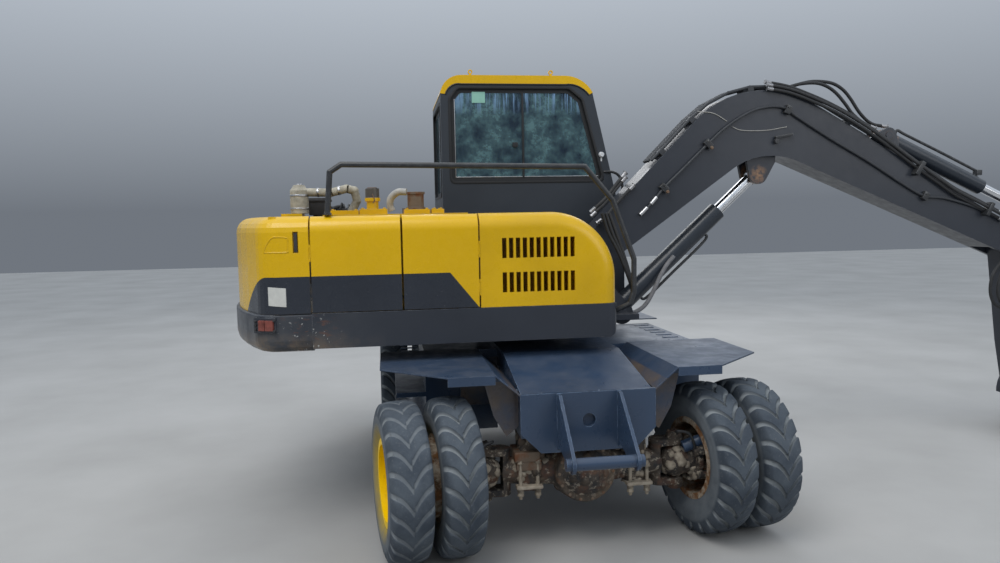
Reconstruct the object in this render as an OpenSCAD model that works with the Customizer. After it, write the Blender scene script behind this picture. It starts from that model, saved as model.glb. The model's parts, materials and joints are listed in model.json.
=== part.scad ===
// Wheeled excavator, eight tonne class, with its upper part turned a quarter turn to the right
// of the undercarriage. Millimetres. The origin is on the ground under the slewing axis.
// +X is forward for the upper part (boom), +Y is its left, +Z is up. The undercarriage drives
// towards -Y, so its front axle lies at negative Y and its left side at positive X.

/* [Wheels] */
// Outside diameter of a tyre over its lugs
tyre_d = 860; // [820:5:900]
// Width of one tyre
tyre_w = 232; // [215:1:245]
// Outside diameter of a rim's flange
rim_d = 470; // [450:5:500]
// Distance between the two tyres of a pair, centre to centre
dual_pitch = 274; // [262:1:290]
// Distance from the centre line to the middle of a pair
pair_x = 870; // [850:5:900]
// Height of the tread lugs
lug_h = 24; // [15:1:30]
// Angle that the front wheels are steered to at rest
steer_rest = 8; // [0:1:12]

/* [Axles] */
// Distance of the front axle in front of the slewing axis
front_axle = 1376; // [1340:1:1420]
// Distance of the rear axle behind the slewing axis
rear_axle = 1120; // [1080:1:1180]
// Distance of a kingpin from the centre line
kingpin_x = 550; // [540:1:560]
// Radius of the axle tubes
axle_tube_r = 68; // [60:1:75]
// Radius of the differential housing
diff_r = 185; // [170:1:190]
// Radius of the wheel spindles
spindle_r = 60; // [50:1:65]

/* [Undercarriage] */
// Half width of the chassis box
frame_half_w = 362; // [350:1:370]
// Height of the chassis top plate under the slewing ring
frame_top = 1010; // [1000:1:1015]
// Underside of the chassis box over the axles
frame_low = 650; // [640:1:670]
// Distance of the front plate's outer face in front of the slewing axis
front_plate_y = 1577; // [1570:1:1600]
// Thickness of the front plate
front_plate_t = 30; // [20:1:40]
// Top edge height of the front plate
front_plate_top = 894; // [880:1:910]
// Half width of the front plate
plate_half_w = 371; // [365:1:380]
// Height of the fender tops
fender_top = 1003; // [995:1:1010]
// Distance of a fender's outer edge from the centre line
fender_half_w = 1100; // [1080:1:1150]
// Thickness of the fender plates
fender_t = 8; // [6:1:12]
// Radius of the tow bar
tow_bar_r = 32; // [25:1:40]
// Distance from the front plate to the tow bar's axis
tow_reach = 300; // [240:5:320]
// Radius of the tow hole in the front plate
tow_hole_r = 36; // [30:1:45]

/* [Upper body] */
// Distance of the side panels from the slewing axis
side_y = 1045; // [1030:1:1060]
// Underside of the turning frame
deck_z = 1100; // [1095:1:1110]
// Height of the dark band along the turning frame
band_h = 203; // [190:1:215]
// Top of the hood
hood_top = 1857; // [1840:1:1880]
// Tail radius of the counterweight
tail_r = 2045; // [2000:5:2080]
// Length of the tail behind the side doors
tail_len = 572; // [550:1:600]
// Radius of the tail's upright corners
tail_corner_r = 150; // [120:5:180]
// Radius of the rounded upper edges of hood, doors and tail
hood_edge_r = 90; // [75:1:95]
// Joint between the two side doors
door_joint_x = -955; // [-980:1:-930]
// Joint between the side doors and the front housing
vent_joint_x = -507; // [-520:1:-495]
// Front end of the right housing
hood_front_x = 331; // [320:1:345]
// Thickness of the sheet walls and doors
panel_t = 24; // [18:1:30]

/* [Cab] */
// Right wall of the cab
cab_right = 146; // [140:1:155]
// Left wall of the cab
cab_left = 1045; // [1030:1:1060]
// Rear wall of the cab
cab_rear_x = -625; // [-640:1:-610]
// Top of the cab roof
cab_top = 2866; // [2850:1:2890]
// Thickness of the cab walls
cab_wall = 50; // [40:1:60]

/* [Boom] */
// Side offset of the boom's middle plane
boom_y = -80; // [-90:1:-75]
// Width of the boom
boom_w = 260; // [250:1:270]
// Distance of the boom's foot pin in front of the slewing axis
boom_foot_x = 270; // [260:1:280]
// Height of the boom's foot pin
boom_foot_z = 1450; // [1440:1:1460]
// Distance of the boom's nose pin in front of the slewing axis
boom_nose_x = 3830; // [3800:1:3850]
// Height of the boom's nose pin at rest
boom_nose_z = 1530; // [1520:1:1540]
// Distance of the boom cylinder's foot pin in front of the slewing axis
boom_cyl_x = 600; // [595:1:610]
// Height of the boom cylinder's foot pin
boom_cyl_z = 1140; // [1135:1:1150]
// Outside radius of the boom cylinder's barrel
boom_cyl_r = 68; // [60:1:70]
// Outside radius of the arm cylinder's barrel
arm_cyl_r = 60; // [52:1:62]

/* [Arm and bucket] */
// Pin to pin length of the arm
arm_len = 1290; // [1275:1:1300]
// Angle of the arm off the vertical at rest
arm_tilt = 6; // [4:1:8]
// Width of the arm
arm_w = 186; // [170:1:186]
// Width of the bucket
bucket_w = 700; // [600:5:800]
// Angle of the bucket's mouth line at rest
bucket_rest = -22; // [-25:1:-20]

/* [Hidden] */
$fn = 48;

wheel_r = tyre_d / 2;
rest_gap = 0.3;
move_gap = 5;
pedestal_h = 22;
boom_foot = [boom_foot_x, boom_foot_z];
boom_nose = [boom_nose_x, boom_nose_z];
boom_cyl_foot = [boom_cyl_x, boom_cyl_z];
boom_cyl_eye = [1668, 2112];
arm_cyl_foot = [2700, 2390];
arm_cyl_eye = boom_nose + [190, 255];
deck_top = deck_z + 40;
band_top = deck_z + band_h;
hood_low = band_top + rest_gap;
tail_joint_x = tail_len - tail_r;
hinge_r = 9;
hinge_pin_r = 5;
hinge_h = 60;
boom_pin_r = 36;

// Points of an arc, from angle a0 to a1 about c, with n steps
function arc(c, r, a0, a1, n = 8) =
    [for (i = [0:n]) let (a = a0 + (a1 - a0) * i / n) [c[0] + r * cos(a), c[1] + r * sin(a)]];

// Angle and length of the line between two points
function dir(p, q) = atan2(q[1] - p[1], q[0] - p[0]);
function dist(p, q) = norm(q - p);

// A plate standing in the XZ plane, from y0 to y1
module side_plate(y0, y1) {
    translate([0, y1, 0]) rotate([90, 0, 0]) linear_extrude(y1 - y0) children();
}

// A plate standing in the YZ plane, drawn with Y to the right, from x0 to x1
module cross_plate(x0, x1) {
    translate([x0, 0, 0]) rotate([90, 0, 90]) linear_extrude(x1 - x0) children();
}

// A round bar along Y at [x, z], from y0 to y1
module bar_y(p, r, y0, y1) {
    translate([p[0], y1, p[1]]) rotate([90, 0, 0]) cylinder(r = r, h = y1 - y0);
}

// A round bar along X at [y, z], from x0 to x1
module bar_x(p, r, x0, x1) {
    translate([x0, p[0], p[1]]) rotate([0, 90, 0]) cylinder(r = r, h = x1 - x0);
}

// A round bar between two points, given as [x, y, z]
module bar_to(p, q, r) {
    d = q - p;
    translate(p) rotate([0, acos(d[2] / norm(d)), atan2(d[1], d[0])]) cylinder(r = r, h = norm(d));
}

// A bent pipe: straight runs between the points, rounded where they meet
module bent_bar(points, r) {
    for (i = [0:len(points) - 2]) {
        bar_to(points[i], points[i + 1], r);
        if (i > 0) translate(points[i]) sphere(r = r + 1);
    }
}

// Half section of a panel body: w wide, from z0 to z1, its outer corners rounded by low and top
module edge_profile(w, z0, z1, top, low = 0) {
    translate([0, z0 + low]) square([w, z1 - z0 - low - top]);
    translate([0, z1 - top - 1]) square([w - top, top + 1]);
    intersection() {
        translate([w - top, z1 - top]) circle(r = top);
        translate([w - top - 1, z1 - top - 1]) square(top + 2);
    }
    if (low > 0) {
        translate([0, z0]) square([w - low, low + 1]);
        intersection() {
            translate([w - low, z0 + low]) circle(r = low);
            translate([w - low - 1, z0 - 1]) square(low + 2);
        }
    }
}

// Mirrored copies on both sides of the undercarriage
module both_sides() {
    children();
    mirror([1, 0, 0]) children();
}

// The chassis: a folded box, open at the top under the slewing ring, with a ring pedestal
module chassis_profile(inset) {
    front = front_plate_y - front_plate_t - rest_gap - inset;
    rear = rear_axle + 210 - inset;
    top = frame_top - inset;
    low = frame_low + inset;
    polygon([[-front, low], [-front, front_plate_top - 10 - inset], [-934, top], [940, top],
        [rear, front_plate_top - 20 - inset], [rear, low], [760, low], [700, low - 130],
        [-900, low - 130], [-1000, low]]);
}

module chassis_frame() {
    color("darkslategray") {
        difference() {
            cross_plate(-frame_half_w, frame_half_w) chassis_profile(0);
            cross_plate(-frame_half_w + panel_t, frame_half_w - panel_t) chassis_profile(panel_t);
            translate([0, 0, frame_top - 100]) cylinder(r = 220, h = 200);
        }
        difference() {
            translate([0, 0, frame_top]) cylinder(r = 430, h = pedestal_h);
            translate([0, 0, frame_top - 1]) cylinder(r = 300, h = 30);
        }
    }
}

// The front plate: clipped lower corners, a tow hole, two curved arms and a tow bar
module front_plate() {
    half_top = plate_half_w;
    half_low = plate_half_w - 109;
    corner_z = 683;
    low_z = 574;
    arm_x = 165;
    bar_y0 = -front_plate_y - tow_reach;
    bar_z = 600;
    color("slategray") {
        difference() {
            translate([0, -front_plate_y + front_plate_t, 0]) rotate([90, 0, 0])
                linear_extrude(front_plate_t)
                    polygon([[-half_top, front_plate_top], [half_top, front_plate_top],
                        [half_top, corner_z], [half_low, low_z], [-half_low, low_z],
                        [-half_top, corner_z]]);
            translate([0, -front_plate_y - 1, 740]) rotate([-90, 0, 0])
                cylinder(r = tow_hole_r, h = front_plate_t + 2);
        }
        for (s = [-1, 1])
            translate([s * arm_x - 9, -front_plate_y, 0]) rotate([90, 0, 90]) linear_extrude(18)
                polygon(concat([[0, front_plate_top - 4], [-40, front_plate_top - 4]],
                    arc([-tow_reach, bar_z], 48, 120, 290, 8), [[-60, 610], [0, 590]]));
        bar_x([bar_y0, bar_z], tow_bar_r, -arm_x - 35, arm_x + 35);
    }
}

// A fender over the wheels of one axle; dir_y is -1 at the front
module fender(axle_y, dir_y) {
    nose = front_plate_y - front_axle;
    back = 700;
    y_front = axle_y + dir_y * nose;
    y_back = axle_y - dir_y * back;
    slope_x = 500;
    both_sides() {
        translate([0, 0, fender_top - fender_t]) linear_extrude(fender_t)
            polygon([[slope_x, y_front], [750, y_front], [fender_half_w, axle_y - dir_y * 130],
                [fender_half_w, y_back], [slope_x, y_back]]);
        translate([0, y_front, 0]) rotate([90, 0, 0]) translate([0, 0, dir_y < 0 ? -8 : 0])
            linear_extrude(8) polygon([[slope_x, fender_top - 0], [slope_x, fender_top - 50],
                [750, fender_top - 50], [750, fender_top]]);
        hull() {
            translate([slope_x - 2, min(y_front, y_back), fender_top - fender_t])
                cube([2, nose + back, fender_t]);
            translate([plate_half_w + rest_gap, min(y_front, y_back), front_plate_top - fender_t])
                cube([2, nose + back, fender_t]);
        }
        side_plate(y_front - dir_y * 120 - 4, y_front - dir_y * 120 + 4)
            polygon([[frame_half_w + rest_gap, front_plate_top - fender_t], [frame_half_w + rest_gap, 700],
                [430, 640], [slope_x, 760], [slope_x + 60, fender_top - fender_t], [slope_x, fender_top - fender_t]]);
        translate([frame_half_w + rest_gap, axle_y - dir_y * back - 5, 640])
            cube([240, 10, fender_top - 648]);
    }
}

module front_fenders() {
    color("slategray") fender(-front_axle, -1);
}

module rear_fenders() {
    color("slategray") fender(rear_axle, 1);
}

// Step and tool boxes on both sides between the axles
box_x0 = 380;
box_x1 = 1010;
box_y0 = -640;
box_y1 = 380;
// Hinge line of the toolbox flap along its lower edge, X and Z
flap_hinge = [box_x1 + hinge_r + 1, 500];
module side_boxes() {
    color("dimgray") for (y = [box_y0 + 150, box_y1 - 150]) {
        bar_y(flap_hinge, hinge_pin_r, y - hinge_h / 2 - 18, y + hinge_h / 2 + 18);
        for (s = [-1, 1]) side_plate(y + s * (hinge_h / 2 + 9 + rest_gap / 2) - 9 + rest_gap / 2,
            y + s * (hinge_h / 2 + 9 + rest_gap / 2) + 9 - rest_gap / 2)
            hull() {
                translate(flap_hinge) circle(r = hinge_r);
                translate([box_x1, flap_hinge[1] - 25]) square([4, 15]);
            }
    }
    color("slategray") {
        difference() {
            translate([box_x0 - 18 + rest_gap, box_y0, 470]) cube([box_x1 - box_x0 + 18, box_y1 - box_y0, 500]);
            translate([box_x0 + 20, box_y0 + 20, 490]) cube([box_x1 - box_x0, box_y1 - box_y0 - 40, 460]);
        }
        mirror([1, 0, 0]) {
            translate([box_x0 - 18 + rest_gap, box_y0, 470]) cube([460, box_y1 - box_y0, 500]);
            for (z = [470, 700]) translate([box_x0 + 400, box_y0, z]) cube([box_x1 - box_x0 - 400, box_y1 - box_y0, 30]);
        }
    }
}

module toolbox_lid() {
    color("slategray") {
        translate([box_x1 - 14, box_y0 + 26, 497]) cube([14, box_y1 - box_y0 - 52, 445]);
        translate([box_x1, (box_y0 + box_y1) / 2 - 60, 880]) cube([25, 120, 20]);
        for (y = [box_y0 + 150, box_y1 - 150]) difference() {
            side_plate(y - hinge_h / 2, y + hinge_h / 2) hull() {
                translate(flap_hinge) circle(r = hinge_r);
                translate([box_x1, flap_hinge[1] + 10]) square([4, 20]);
            }
            bar_y(flap_hinge, hinge_pin_r + rest_gap, y - hinge_h, y + hinge_h);
        }
    }
}

// An axle beam: tubes, differential housing and a cradle that clamps it to the chassis
module axle_body(axle_y, end_x, clamp_x) {
        translate([0, axle_y, wheel_r]) rotate([0, 90, 0]) rotate_extrude()
            polygon(concat([[0, -end_x], [axle_tube_r, -end_x], [axle_tube_r + 15, -260]],
                [for (a = [-60:15:60]) [diff_r * cos(a), 190 * sin(a)]],
                [[axle_tube_r + 15, 260], [axle_tube_r, end_x], [0, end_x]]));
    for (s = [-1, 1]) translate([s * clamp_x - 55, axle_y - 75, wheel_r - 100])
        cube([110, 150, frame_low - wheel_r + 100 - rest_gap]);
}

module front_axle() {
    color("dimgray") {
        difference() {
            union() {
                axle_body(-front_axle, kingpin_x - 50, 300);
                for (s = [-1, 1]) hull() {
                    translate([s * (kingpin_x - 90), -front_axle, wheel_r - 130]) cylinder(r = 60, h = 260);
                    translate([s * (kingpin_x), -front_axle, wheel_r - 130]) cylinder(r = 48, h = 260);
                }
            }
            for (s = [-1, 1]) {
                translate([s * (kingpin_x + 20), -front_axle, wheel_r - 95]) cylinder(r = 135, h = 190);
                translate([s * kingpin_x, -front_axle, wheel_r - 140]) cylinder(r = 24 + rest_gap, h = 280);
            }
        }
    }
}

module rear_axle() {
    color("dimgray") {
        axle_body(rear_axle, 560, 300);
        for (s = [-1, 1]) {
            bar_x([rear_axle, wheel_r], 120, s < 0 ? -640 : 559, s < 0 ? -559 : 640);
            bar_x([rear_axle, wheel_r], spindle_r, s < 0 ? -pair_x - 95 : 639, s < 0 ? -639 : pair_x + 95);
        }
    }
}

// Places a steered part of the side given by s: 1 is left (+X), -1 right
module steered(s) {
    translate([s * kingpin_x, -front_axle, 0]) rotate([0, 0, steer_rest])
        scale_x(s) translate([-kingpin_x, 0, 0]) children();
}

module scale_x(s) {
    if (s > 0) children();
    else mirror([1, 0, 0]) children();
}

// Steering lever end of the side given by s, in the ground plan at rest
steer_lever = [-30, 210];
function lever_end(s) = [s * kingpin_x + s * steer_lever[0] * cos(steer_rest) - steer_lever[1] * sin(steer_rest),
    -front_axle + s * steer_lever[0] * sin(steer_rest) + steer_lever[1] * cos(steer_rest)];

module knuckle() {
    translate([kingpin_x, 0, wheel_r]) {
        cylinder(r = 24, h = 268, center = true);
        sphere(r = 92);
        rotate([0, 90, 0]) cylinder(r = 85, h = 95);
        rotate([0, 90, 0]) translate([0, 0, 90]) cylinder(r = 120, h = 30);
        rotate([0, 90, 0]) translate([0, 0, 115]) cylinder(r = spindle_r, h = pair_x + 95 - kingpin_x - 115);
        hull() {
            translate([0, 0, -20]) cylinder(r = 30, h = 40);
            translate([steer_lever[0], steer_lever[1], -20]) cylinder(r = 28, h = 40);
        }
    }
}

module knuckle_left() {
    color("dimgray") steered(1) knuckle();
}

module knuckle_right() {
    color("dimgray") steered(-1) knuckle();
}

// The tie rod hangs under both steering levers and slides with them
module tie_rod() {
    a = lever_end(-1);
    b = lever_end(1);
    z = wheel_r - 20 - rest_gap - 18;
    color("dimgray") {
        translate([a[0], a[1], z]) rotate([0, 90, dir(a, b)]) cylinder(r = 16, h = dist(a, b));
        for (p = [a, b]) translate([p[0], p[1], z - 18]) cylinder(r = 26, h = 36);
    }
}

// Half width of a rim between its flange faces
rim_half_w = 0.40 * tyre_w;
bead_r = rim_d / 2 - 22;

// One pair of rims with its hub, about +X at the middle of the pair
module rim_pair() {
    gap_in = dual_pitch / 2 - rim_half_w;
    disc_x = 30;
    rotate([0, 90, 0]) difference() {
        rotate_extrude()
            polygon(concat([[spindle_r + rest_gap, -110], [105, -110], [105, -disc_x - 12],
                [bead_r - 30, -disc_x - 12], [bead_r - 12, -gap_in],
                [bead_r - 12, -dual_pitch / 2 - rim_half_w], [rim_d / 2, -dual_pitch / 2 - rim_half_w],
                [rim_d / 2, -dual_pitch / 2 - rim_half_w + 12], [bead_r, -dual_pitch / 2 - rim_half_w + 12],
                [bead_r, -gap_in - 12], [rim_d / 2, -gap_in - 12], [rim_d / 2, -gap_in],
                [bead_r, -gap_in], [bead_r, gap_in], [rim_d / 2, gap_in], [rim_d / 2, gap_in + 12],
                [bead_r, gap_in + 12], [bead_r, dual_pitch / 2 + rim_half_w - 12],
                [rim_d / 2, dual_pitch / 2 + rim_half_w - 12], [rim_d / 2, dual_pitch / 2 + rim_half_w],
                [bead_r - 12, dual_pitch / 2 + rim_half_w], [bead_r - 12, gap_in],
                [bead_r - 30, disc_x + 12], [118, disc_x + 12], [118, 150], [95, 170], [0, 170], [0, 100],
                [spindle_r + rest_gap, 100]]));
    }
}

// One tyre about +X: rings of points whose shoulders and crown rise on a lug and drop in a gap.
// The lugs of the two sides are staggered, and the crown is turned ahead of the shoulder.
lugs = 18;
lug_sweep = 8;
module tyre() {
    steps = 2 * lugs;
    bead = (bead_r + rest_gap) / cos(180 / steps);
    // Columns: distance from the middle plane, radius in a gap, radius on a lug, turn ahead
    half = [[rim_half_w - 14, bead, bead, 0], [rim_half_w - 14, rim_d / 2 - 2, rim_d / 2 - 2, 0],
        [tyre_w / 2, rim_d / 2 + 55, rim_d / 2 + 55, 0],
        [tyre_w / 2 - 6, wheel_r - 50, wheel_r - 12, 0], [10, wheel_r - lug_h, wheel_r, lug_sweep]];
    rows = len(half);
    count = 2 * rows;
    points = [for (i = [0:steps - 1], j = [0:count - 1])
        let (s = j < rows ? 1 : -1, row = half[j < rows ? j : count - 1 - j], on_lug = (i + (s > 0 ? 0 : 1)) % 2 == 0,
            r = on_lug ? row[2] : row[1], a = 360 * i / steps - 90 + row[3])
        [s * row[0], r * cos(a), r * sin(a)]];
    faces = [for (i = [0:steps - 1], j = [0:count - 1])
        let (n = (i + 1) % steps, k = (j + 1) % count)
        each [[i * count + j, i * count + k, n * count + k], [i * count + j, n * count + k, n * count + j]]];
    polyhedron(points, faces);
}

module tyre_pair() {
    for (s = [-1, 1]) translate([s * dual_pitch / 2, 0, 0]) tyre();
}

module on_front(s) {
    steered(s) translate([pair_x, 0, wheel_r]) children();
}

module on_rear(s) {
    scale_x(s) translate([pair_x, rear_axle, wheel_r]) children();
}

module rims_front_left() { color("gold") on_front(1) rim_pair(); }
module tyres_front_left() { color("gray") on_front(1) tyre_pair(); }
module rims_front_right() { color("gold") on_front(-1) rim_pair(); }
module tyres_front_right() { color("gray") on_front(-1) tyre_pair(); }
module rims_rear_left() { color("gold") on_rear(1) rim_pair(); }
module tyres_rear_left() { color("gray") on_rear(1) tyre_pair(); }
module rims_rear_right() { color("gold") on_rear(-1) rim_pair(); }
module tyres_rear_right() { color("gray") on_rear(-1) tyre_pair(); }

// The slewing ring between pedestal and turning frame
module slew_ring() {
    low = frame_top + pedestal_h + rest_gap;
    color("dimgray") translate([0, 0, low]) difference() {
        cylinder(r = 400, h = deck_z - low - rest_gap);
        translate([0, 0, -1]) cylinder(r = 300, h = 200);
    }
}

// Outline of the turning frame seen from above
module deck_outline(inset) {
    polygon(concat([[tail_joint_x, -side_y + inset], [hood_front_x - 60, -side_y + inset]],
        arc([hood_front_x - 60, -side_y + 60], 60 - inset, -90, 0, 6),
        [[hood_front_x - inset, -330], [700, -330], [700, cab_right - 40], [760, cab_right - 20],
        [760, cab_left - inset - 60], [700, cab_left - inset], [tail_joint_x, side_y - inset]]));
}

// Ear that carries the foot pins of the boom and of its cylinder
module deck_ear() {
    hull() {
        translate(boom_foot) circle(r = 110);
        translate([-250, deck_top - 20]) square([700, 20]);
    }
    hull() {
        translate(boom_foot) circle(r = 110);
        translate(boom_cyl_foot) circle(r = 80);
    }
    hull() {
        translate(boom_cyl_foot) circle(r = 80);
        translate([450, deck_top - 20]) square([100, 20]);
    }
}

module deck_frame() {
    ear_t = 40;
    foot_half = boom_w / 2 + move_gap;
    color("darkslategray") difference() {
        union() {
            difference() {
                translate([0, 0, deck_z]) linear_extrude(band_h) deck_outline(0);
                translate([0, 0, deck_top]) linear_extrude(band_h) deck_outline(panel_t);
                translate([cab_rear_x - rest_gap, cab_right - 60, deck_top]) cube([1500, 1500, band_h]);
            }
            for (s = [-1, 1]) side_plate(boom_y + s * (foot_half + ear_t / 2) - ear_t / 2,
                boom_y + s * (foot_half + ear_t / 2) + ear_t / 2)
                deck_ear();
        }
        translate([hood_front_x - 60, -side_y - 1, deck_z - 1]) difference() {
            cube([62, side_y - 330, 61]);
            translate([0, -1, 61]) rotate([-90, 0, 0]) cylinder(r = 60, h = side_y);
        }
        translate([hood_front_x, boom_y - foot_half, deck_z - 1]) cube([600, 2 * foot_half, 300]);
    }
    color("silver") {
        bar_y(boom_foot, boom_pin_r, boom_y - foot_half - ear_t - 10, boom_y + foot_half + ear_t + 10);
        bar_y(boom_cyl_foot, 32, boom_y - foot_half - ear_t - 10, boom_y + foot_half + ear_t + 10);
    }
}

// Outline of the tail, as wide as the body: a sweep about the slewing axis between two rounded
// corners. Its sides are moved inwards by the inset, its front stays at the joint.
module tail_outline(r, joint, inset) {
    yc = side_y - tail_corner_r;
    xc = -sqrt((r - tail_corner_r) * (r - tail_corner_r) - yc * yc);
    flare = atan2(yc, -xc);
    rc = tail_corner_r - inset;
    polygon(concat([[joint, side_y - inset]], arc([xc, yc], rc, 90, 180 - flare, 5),
        arc([0, 0], r - inset, 180 - flare, 180 + flare, 12), arc([xc, -yc], rc, 180 + flare, 270, 5),
        [[joint, -side_y + inset]]));
}

// Solid tail between two heights; top and low are the radii of its upper and lower edges
module tail_body(r, z0, z1, joint, top, low = 0, turn = 18) {
    // Columns: height, inset
    levels = concat([for (a = [90:-turn:0]) [z0 + low - low * sin(a), low - low * cos(a)]],
        [for (a = [0:turn:90]) [z1 - top + top * sin(a), top - top * cos(a)]]);
    hull() for (level = levels) translate([0, 0, min(level[0], z1 - 0.02)])
        linear_extrude(0.02) tail_outline(r, joint, level[1]);
}

tail_lamp = [-1740, -1035, 1243];
module counterweight() {
    color("darkslategray") difference() {
        tail_body(tail_r, deck_z - 20, band_top, tail_joint_x - rest_gap, 14, 70, 30);
        translate(tail_lamp) rotate([0, 0, -25]) cube([140, 60, 88], center = true);
    }
    color("firebrick") translate(tail_lamp) rotate([0, 0, -25]) translate([0, 16, 0])
        cube([140 - 2 * rest_gap, 28 - 2 * rest_gap, 88 - 2 * rest_gap], center = true);
}

// The tail cover is a shell that is open at the top since its bonnet is missing
bonnet_lip = 110;
module tail_cover() {
    r = tail_r - 20;
    color("gold") {
        difference() {
            tail_body(r, hood_low, hood_top, tail_joint_x - seam, hood_edge_r);
            // Columns: inset of the walls, bottom and top of the space
            for (room = [[panel_t, hood_low - 10, hood_top - hood_edge_r + 20], [bonnet_lip, hood_top - 200, hood_top + 10]])
                translate([0, 0, room[1]]) linear_extrude(room[2] - room[1])
                    tail_outline(r, tail_joint_x, room[0]);
            translate([-1565, -side_y - 1, 1650]) cube([30, panel_t + 2, 120]);
        }
        translate([-1700, -440, hood_top - panel_t]) cube([130, 190, panel_t + 23]);
        translate([-1700, -side_y + bonnet_lip - 60, hood_top - panel_t]) cube([40, 660, panel_t - 0.5]);
    }
    hinge_posts(tail_joint_x, -1);
}

// The right front housing: rounded edges run up the front, over the curved nose and back along
// the top. Two rows of vent slots are cut through its side.
hood_inner_y = -340;
hood_nose_r = 400;
module hood_solid() {
    wide = side_y + hood_inner_y;
    nose_x = hood_front_x - hood_nose_r;
    nose_z = hood_top - hood_nose_r;
    cross_plate(vent_joint_x + seam, nose_x) translate([hood_inner_y, 0]) mirror([1, 0])
        edge_profile(wide, hood_low, hood_top, hood_edge_r);
    translate([nose_x, hood_inner_y, nose_z]) rotate([90, 0, 0]) rotate_extrude(angle = 90)
        edge_profile(hood_nose_r, 0, wide, hood_edge_r);
    translate([nose_x, hood_inner_y, hood_low]) linear_extrude(nose_z - hood_low) mirror([0, 1])
        edge_profile(hood_nose_r, 0, wide, hood_edge_r);
}

module hood_front() {
    room_x = vent_joint_x + seam + panel_t;
    color("gold") {
        difference() {
            hood_solid();
            translate([room_x, -side_y + panel_t, hood_low + panel_t])
                cube([90 - room_x, side_y + hood_inner_y - 2 * panel_t, hood_top - hood_edge_r - hood_low]);
            for (i = [0:10], z = [1388, 1590]) translate([-372 + i * 41, -side_y - 1, z])
                cube([26, panel_t + 2, 118]);
        }
    }
    hinge_posts(vent_joint_x, 1);
}

// The left side panels and the wall between engine bay and cab
module hood_left() {
    color("gold") {
        difference() {
            cross_plate(tail_joint_x, cab_rear_x - 60) difference() {
                edge_profile(side_y, hood_low, hood_top, hood_edge_r);
                edge_profile(side_y - panel_t, hood_low - 1, hood_top - panel_t, hood_edge_r - panel_t);
                translate([0, hood_top - 200]) square([side_y - bonnet_lip, 300]);
            }
            for (i = [0:13]) translate([tail_joint_x + 110 + i * 42, side_y - panel_t - 1, hood_low + 110])
                cube([22, panel_t + 2, 320]);
        }
        translate([cab_rear_x - 60 - panel_t, cab_right - 60, hood_low])
            cube([panel_t, cab_left - panel_t - cab_right + 60, hood_top - hood_low]);
    }
}

// Slim hinges of the right side doors, half sunk in the joints: pins and end knuckles stand on
// the fixed panel, the long knuckles on the door
seam = 4.5;
door_gap = 5.5;
slim_r = 3.5;
slim_pin_r = 2;
hinge_z = [hood_low + 90, hood_top - 240];

// A knuckle with its web to the panel edge on the side s
module knuckle_ring(x, s, z, h) {
    translate([x, -side_y, z]) cylinder(r = slim_r, h = h);
    translate([min(x, x + s * (seam + 2)), -side_y, z]) cube([seam + 2, slim_r, h]);
}

// Fixed half of a pair of hinges on the panel on the side s of the joint at x
module hinge_posts(x, s) {
    color("dimgray") for (z = hinge_z) {
        translate([x, -side_y, z - 18]) cylinder(r = slim_pin_r, h = hinge_h + 36);
        for (dz = [-18, hinge_h + rest_gap]) knuckle_ring(x, s, z + dz, 18 - rest_gap);
    }
}

// A side door from x0 to x1 with its hinges at hinge_x; s points from the hinge into the door.
// Its upper edge curls inwards and stops short of the fixed covers on top.
door_curl = 70;
module side_door(x0, x1, hinge_x, s) {
    intersection() {
        cross_plate(x0, x1) mirror([1, 0]) difference() {
            edge_profile(side_y, hood_low + 4, hood_top, hood_edge_r);
            edge_profile(side_y - panel_t, hood_low, hood_top - panel_t, hood_edge_r - panel_t);
        }
        translate([x0 - 1, -side_y - 1, hood_low]) cube([x1 - x0 + 2, door_curl + 1, hood_top]);
    }
    for (z = hinge_z) difference() {
        knuckle_ring(hinge_x, s, z, hinge_h);
        translate([hinge_x, -side_y, z - 1]) cylinder(r = slim_pin_r + rest_gap, h = hinge_h + 2);
    }
}

module door_rear() {
    color("gold") side_door(tail_joint_x + seam, door_joint_x - door_gap, tail_joint_x, 1);
}

module door_mid() {
    color("gold") side_door(door_joint_x + door_gap, vent_joint_x - seam, vent_joint_x, -1);
}

// Fuel and oil tank behind the doors, with cover plates, a filler neck and an oil filter head
tank_top = 1862;
tank_x0 = -1400;
tank_x1 = -560;
tank_y0 = -side_y + 82;
tank_y1 = -560;
filler = [-1118, -740];
module tank() {
    color("gold") {
        translate([tank_x0, tank_y0, hood_top - panel_t]) cube([tank_x1 - tank_x0, tank_y1 - tank_y0, panel_t + 5]);
        translate([tank_x0 + 60, tank_y0 + 60, deck_top + rest_gap])
            cube([tank_x1 - tank_x0 - 120, tank_y1 - tank_y0 - 60, hood_top - panel_t - deck_top]);
        // Columns: from x, to x, height of the plate on the cover
        for (p = [[-1370, -1200, 28], [-1195, -1030, 34], [-930, -776, 28], [-765, -690, 28]])
            translate([p[0], -830, tank_top - 1]) cube([p[1] - p[0], 200, p[2]]);
        translate([filler[0], filler[1], tank_top + 30]) {
            cylinder(r = 36, h = 70);
            translate([0, 0, 50]) cylinder(r = 46, h = 22);
        }
    }
    color("dimgray") translate([filler[0], filler[1], tank_top + 102]) cylinder(r = 42, h = 56);
}

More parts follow.
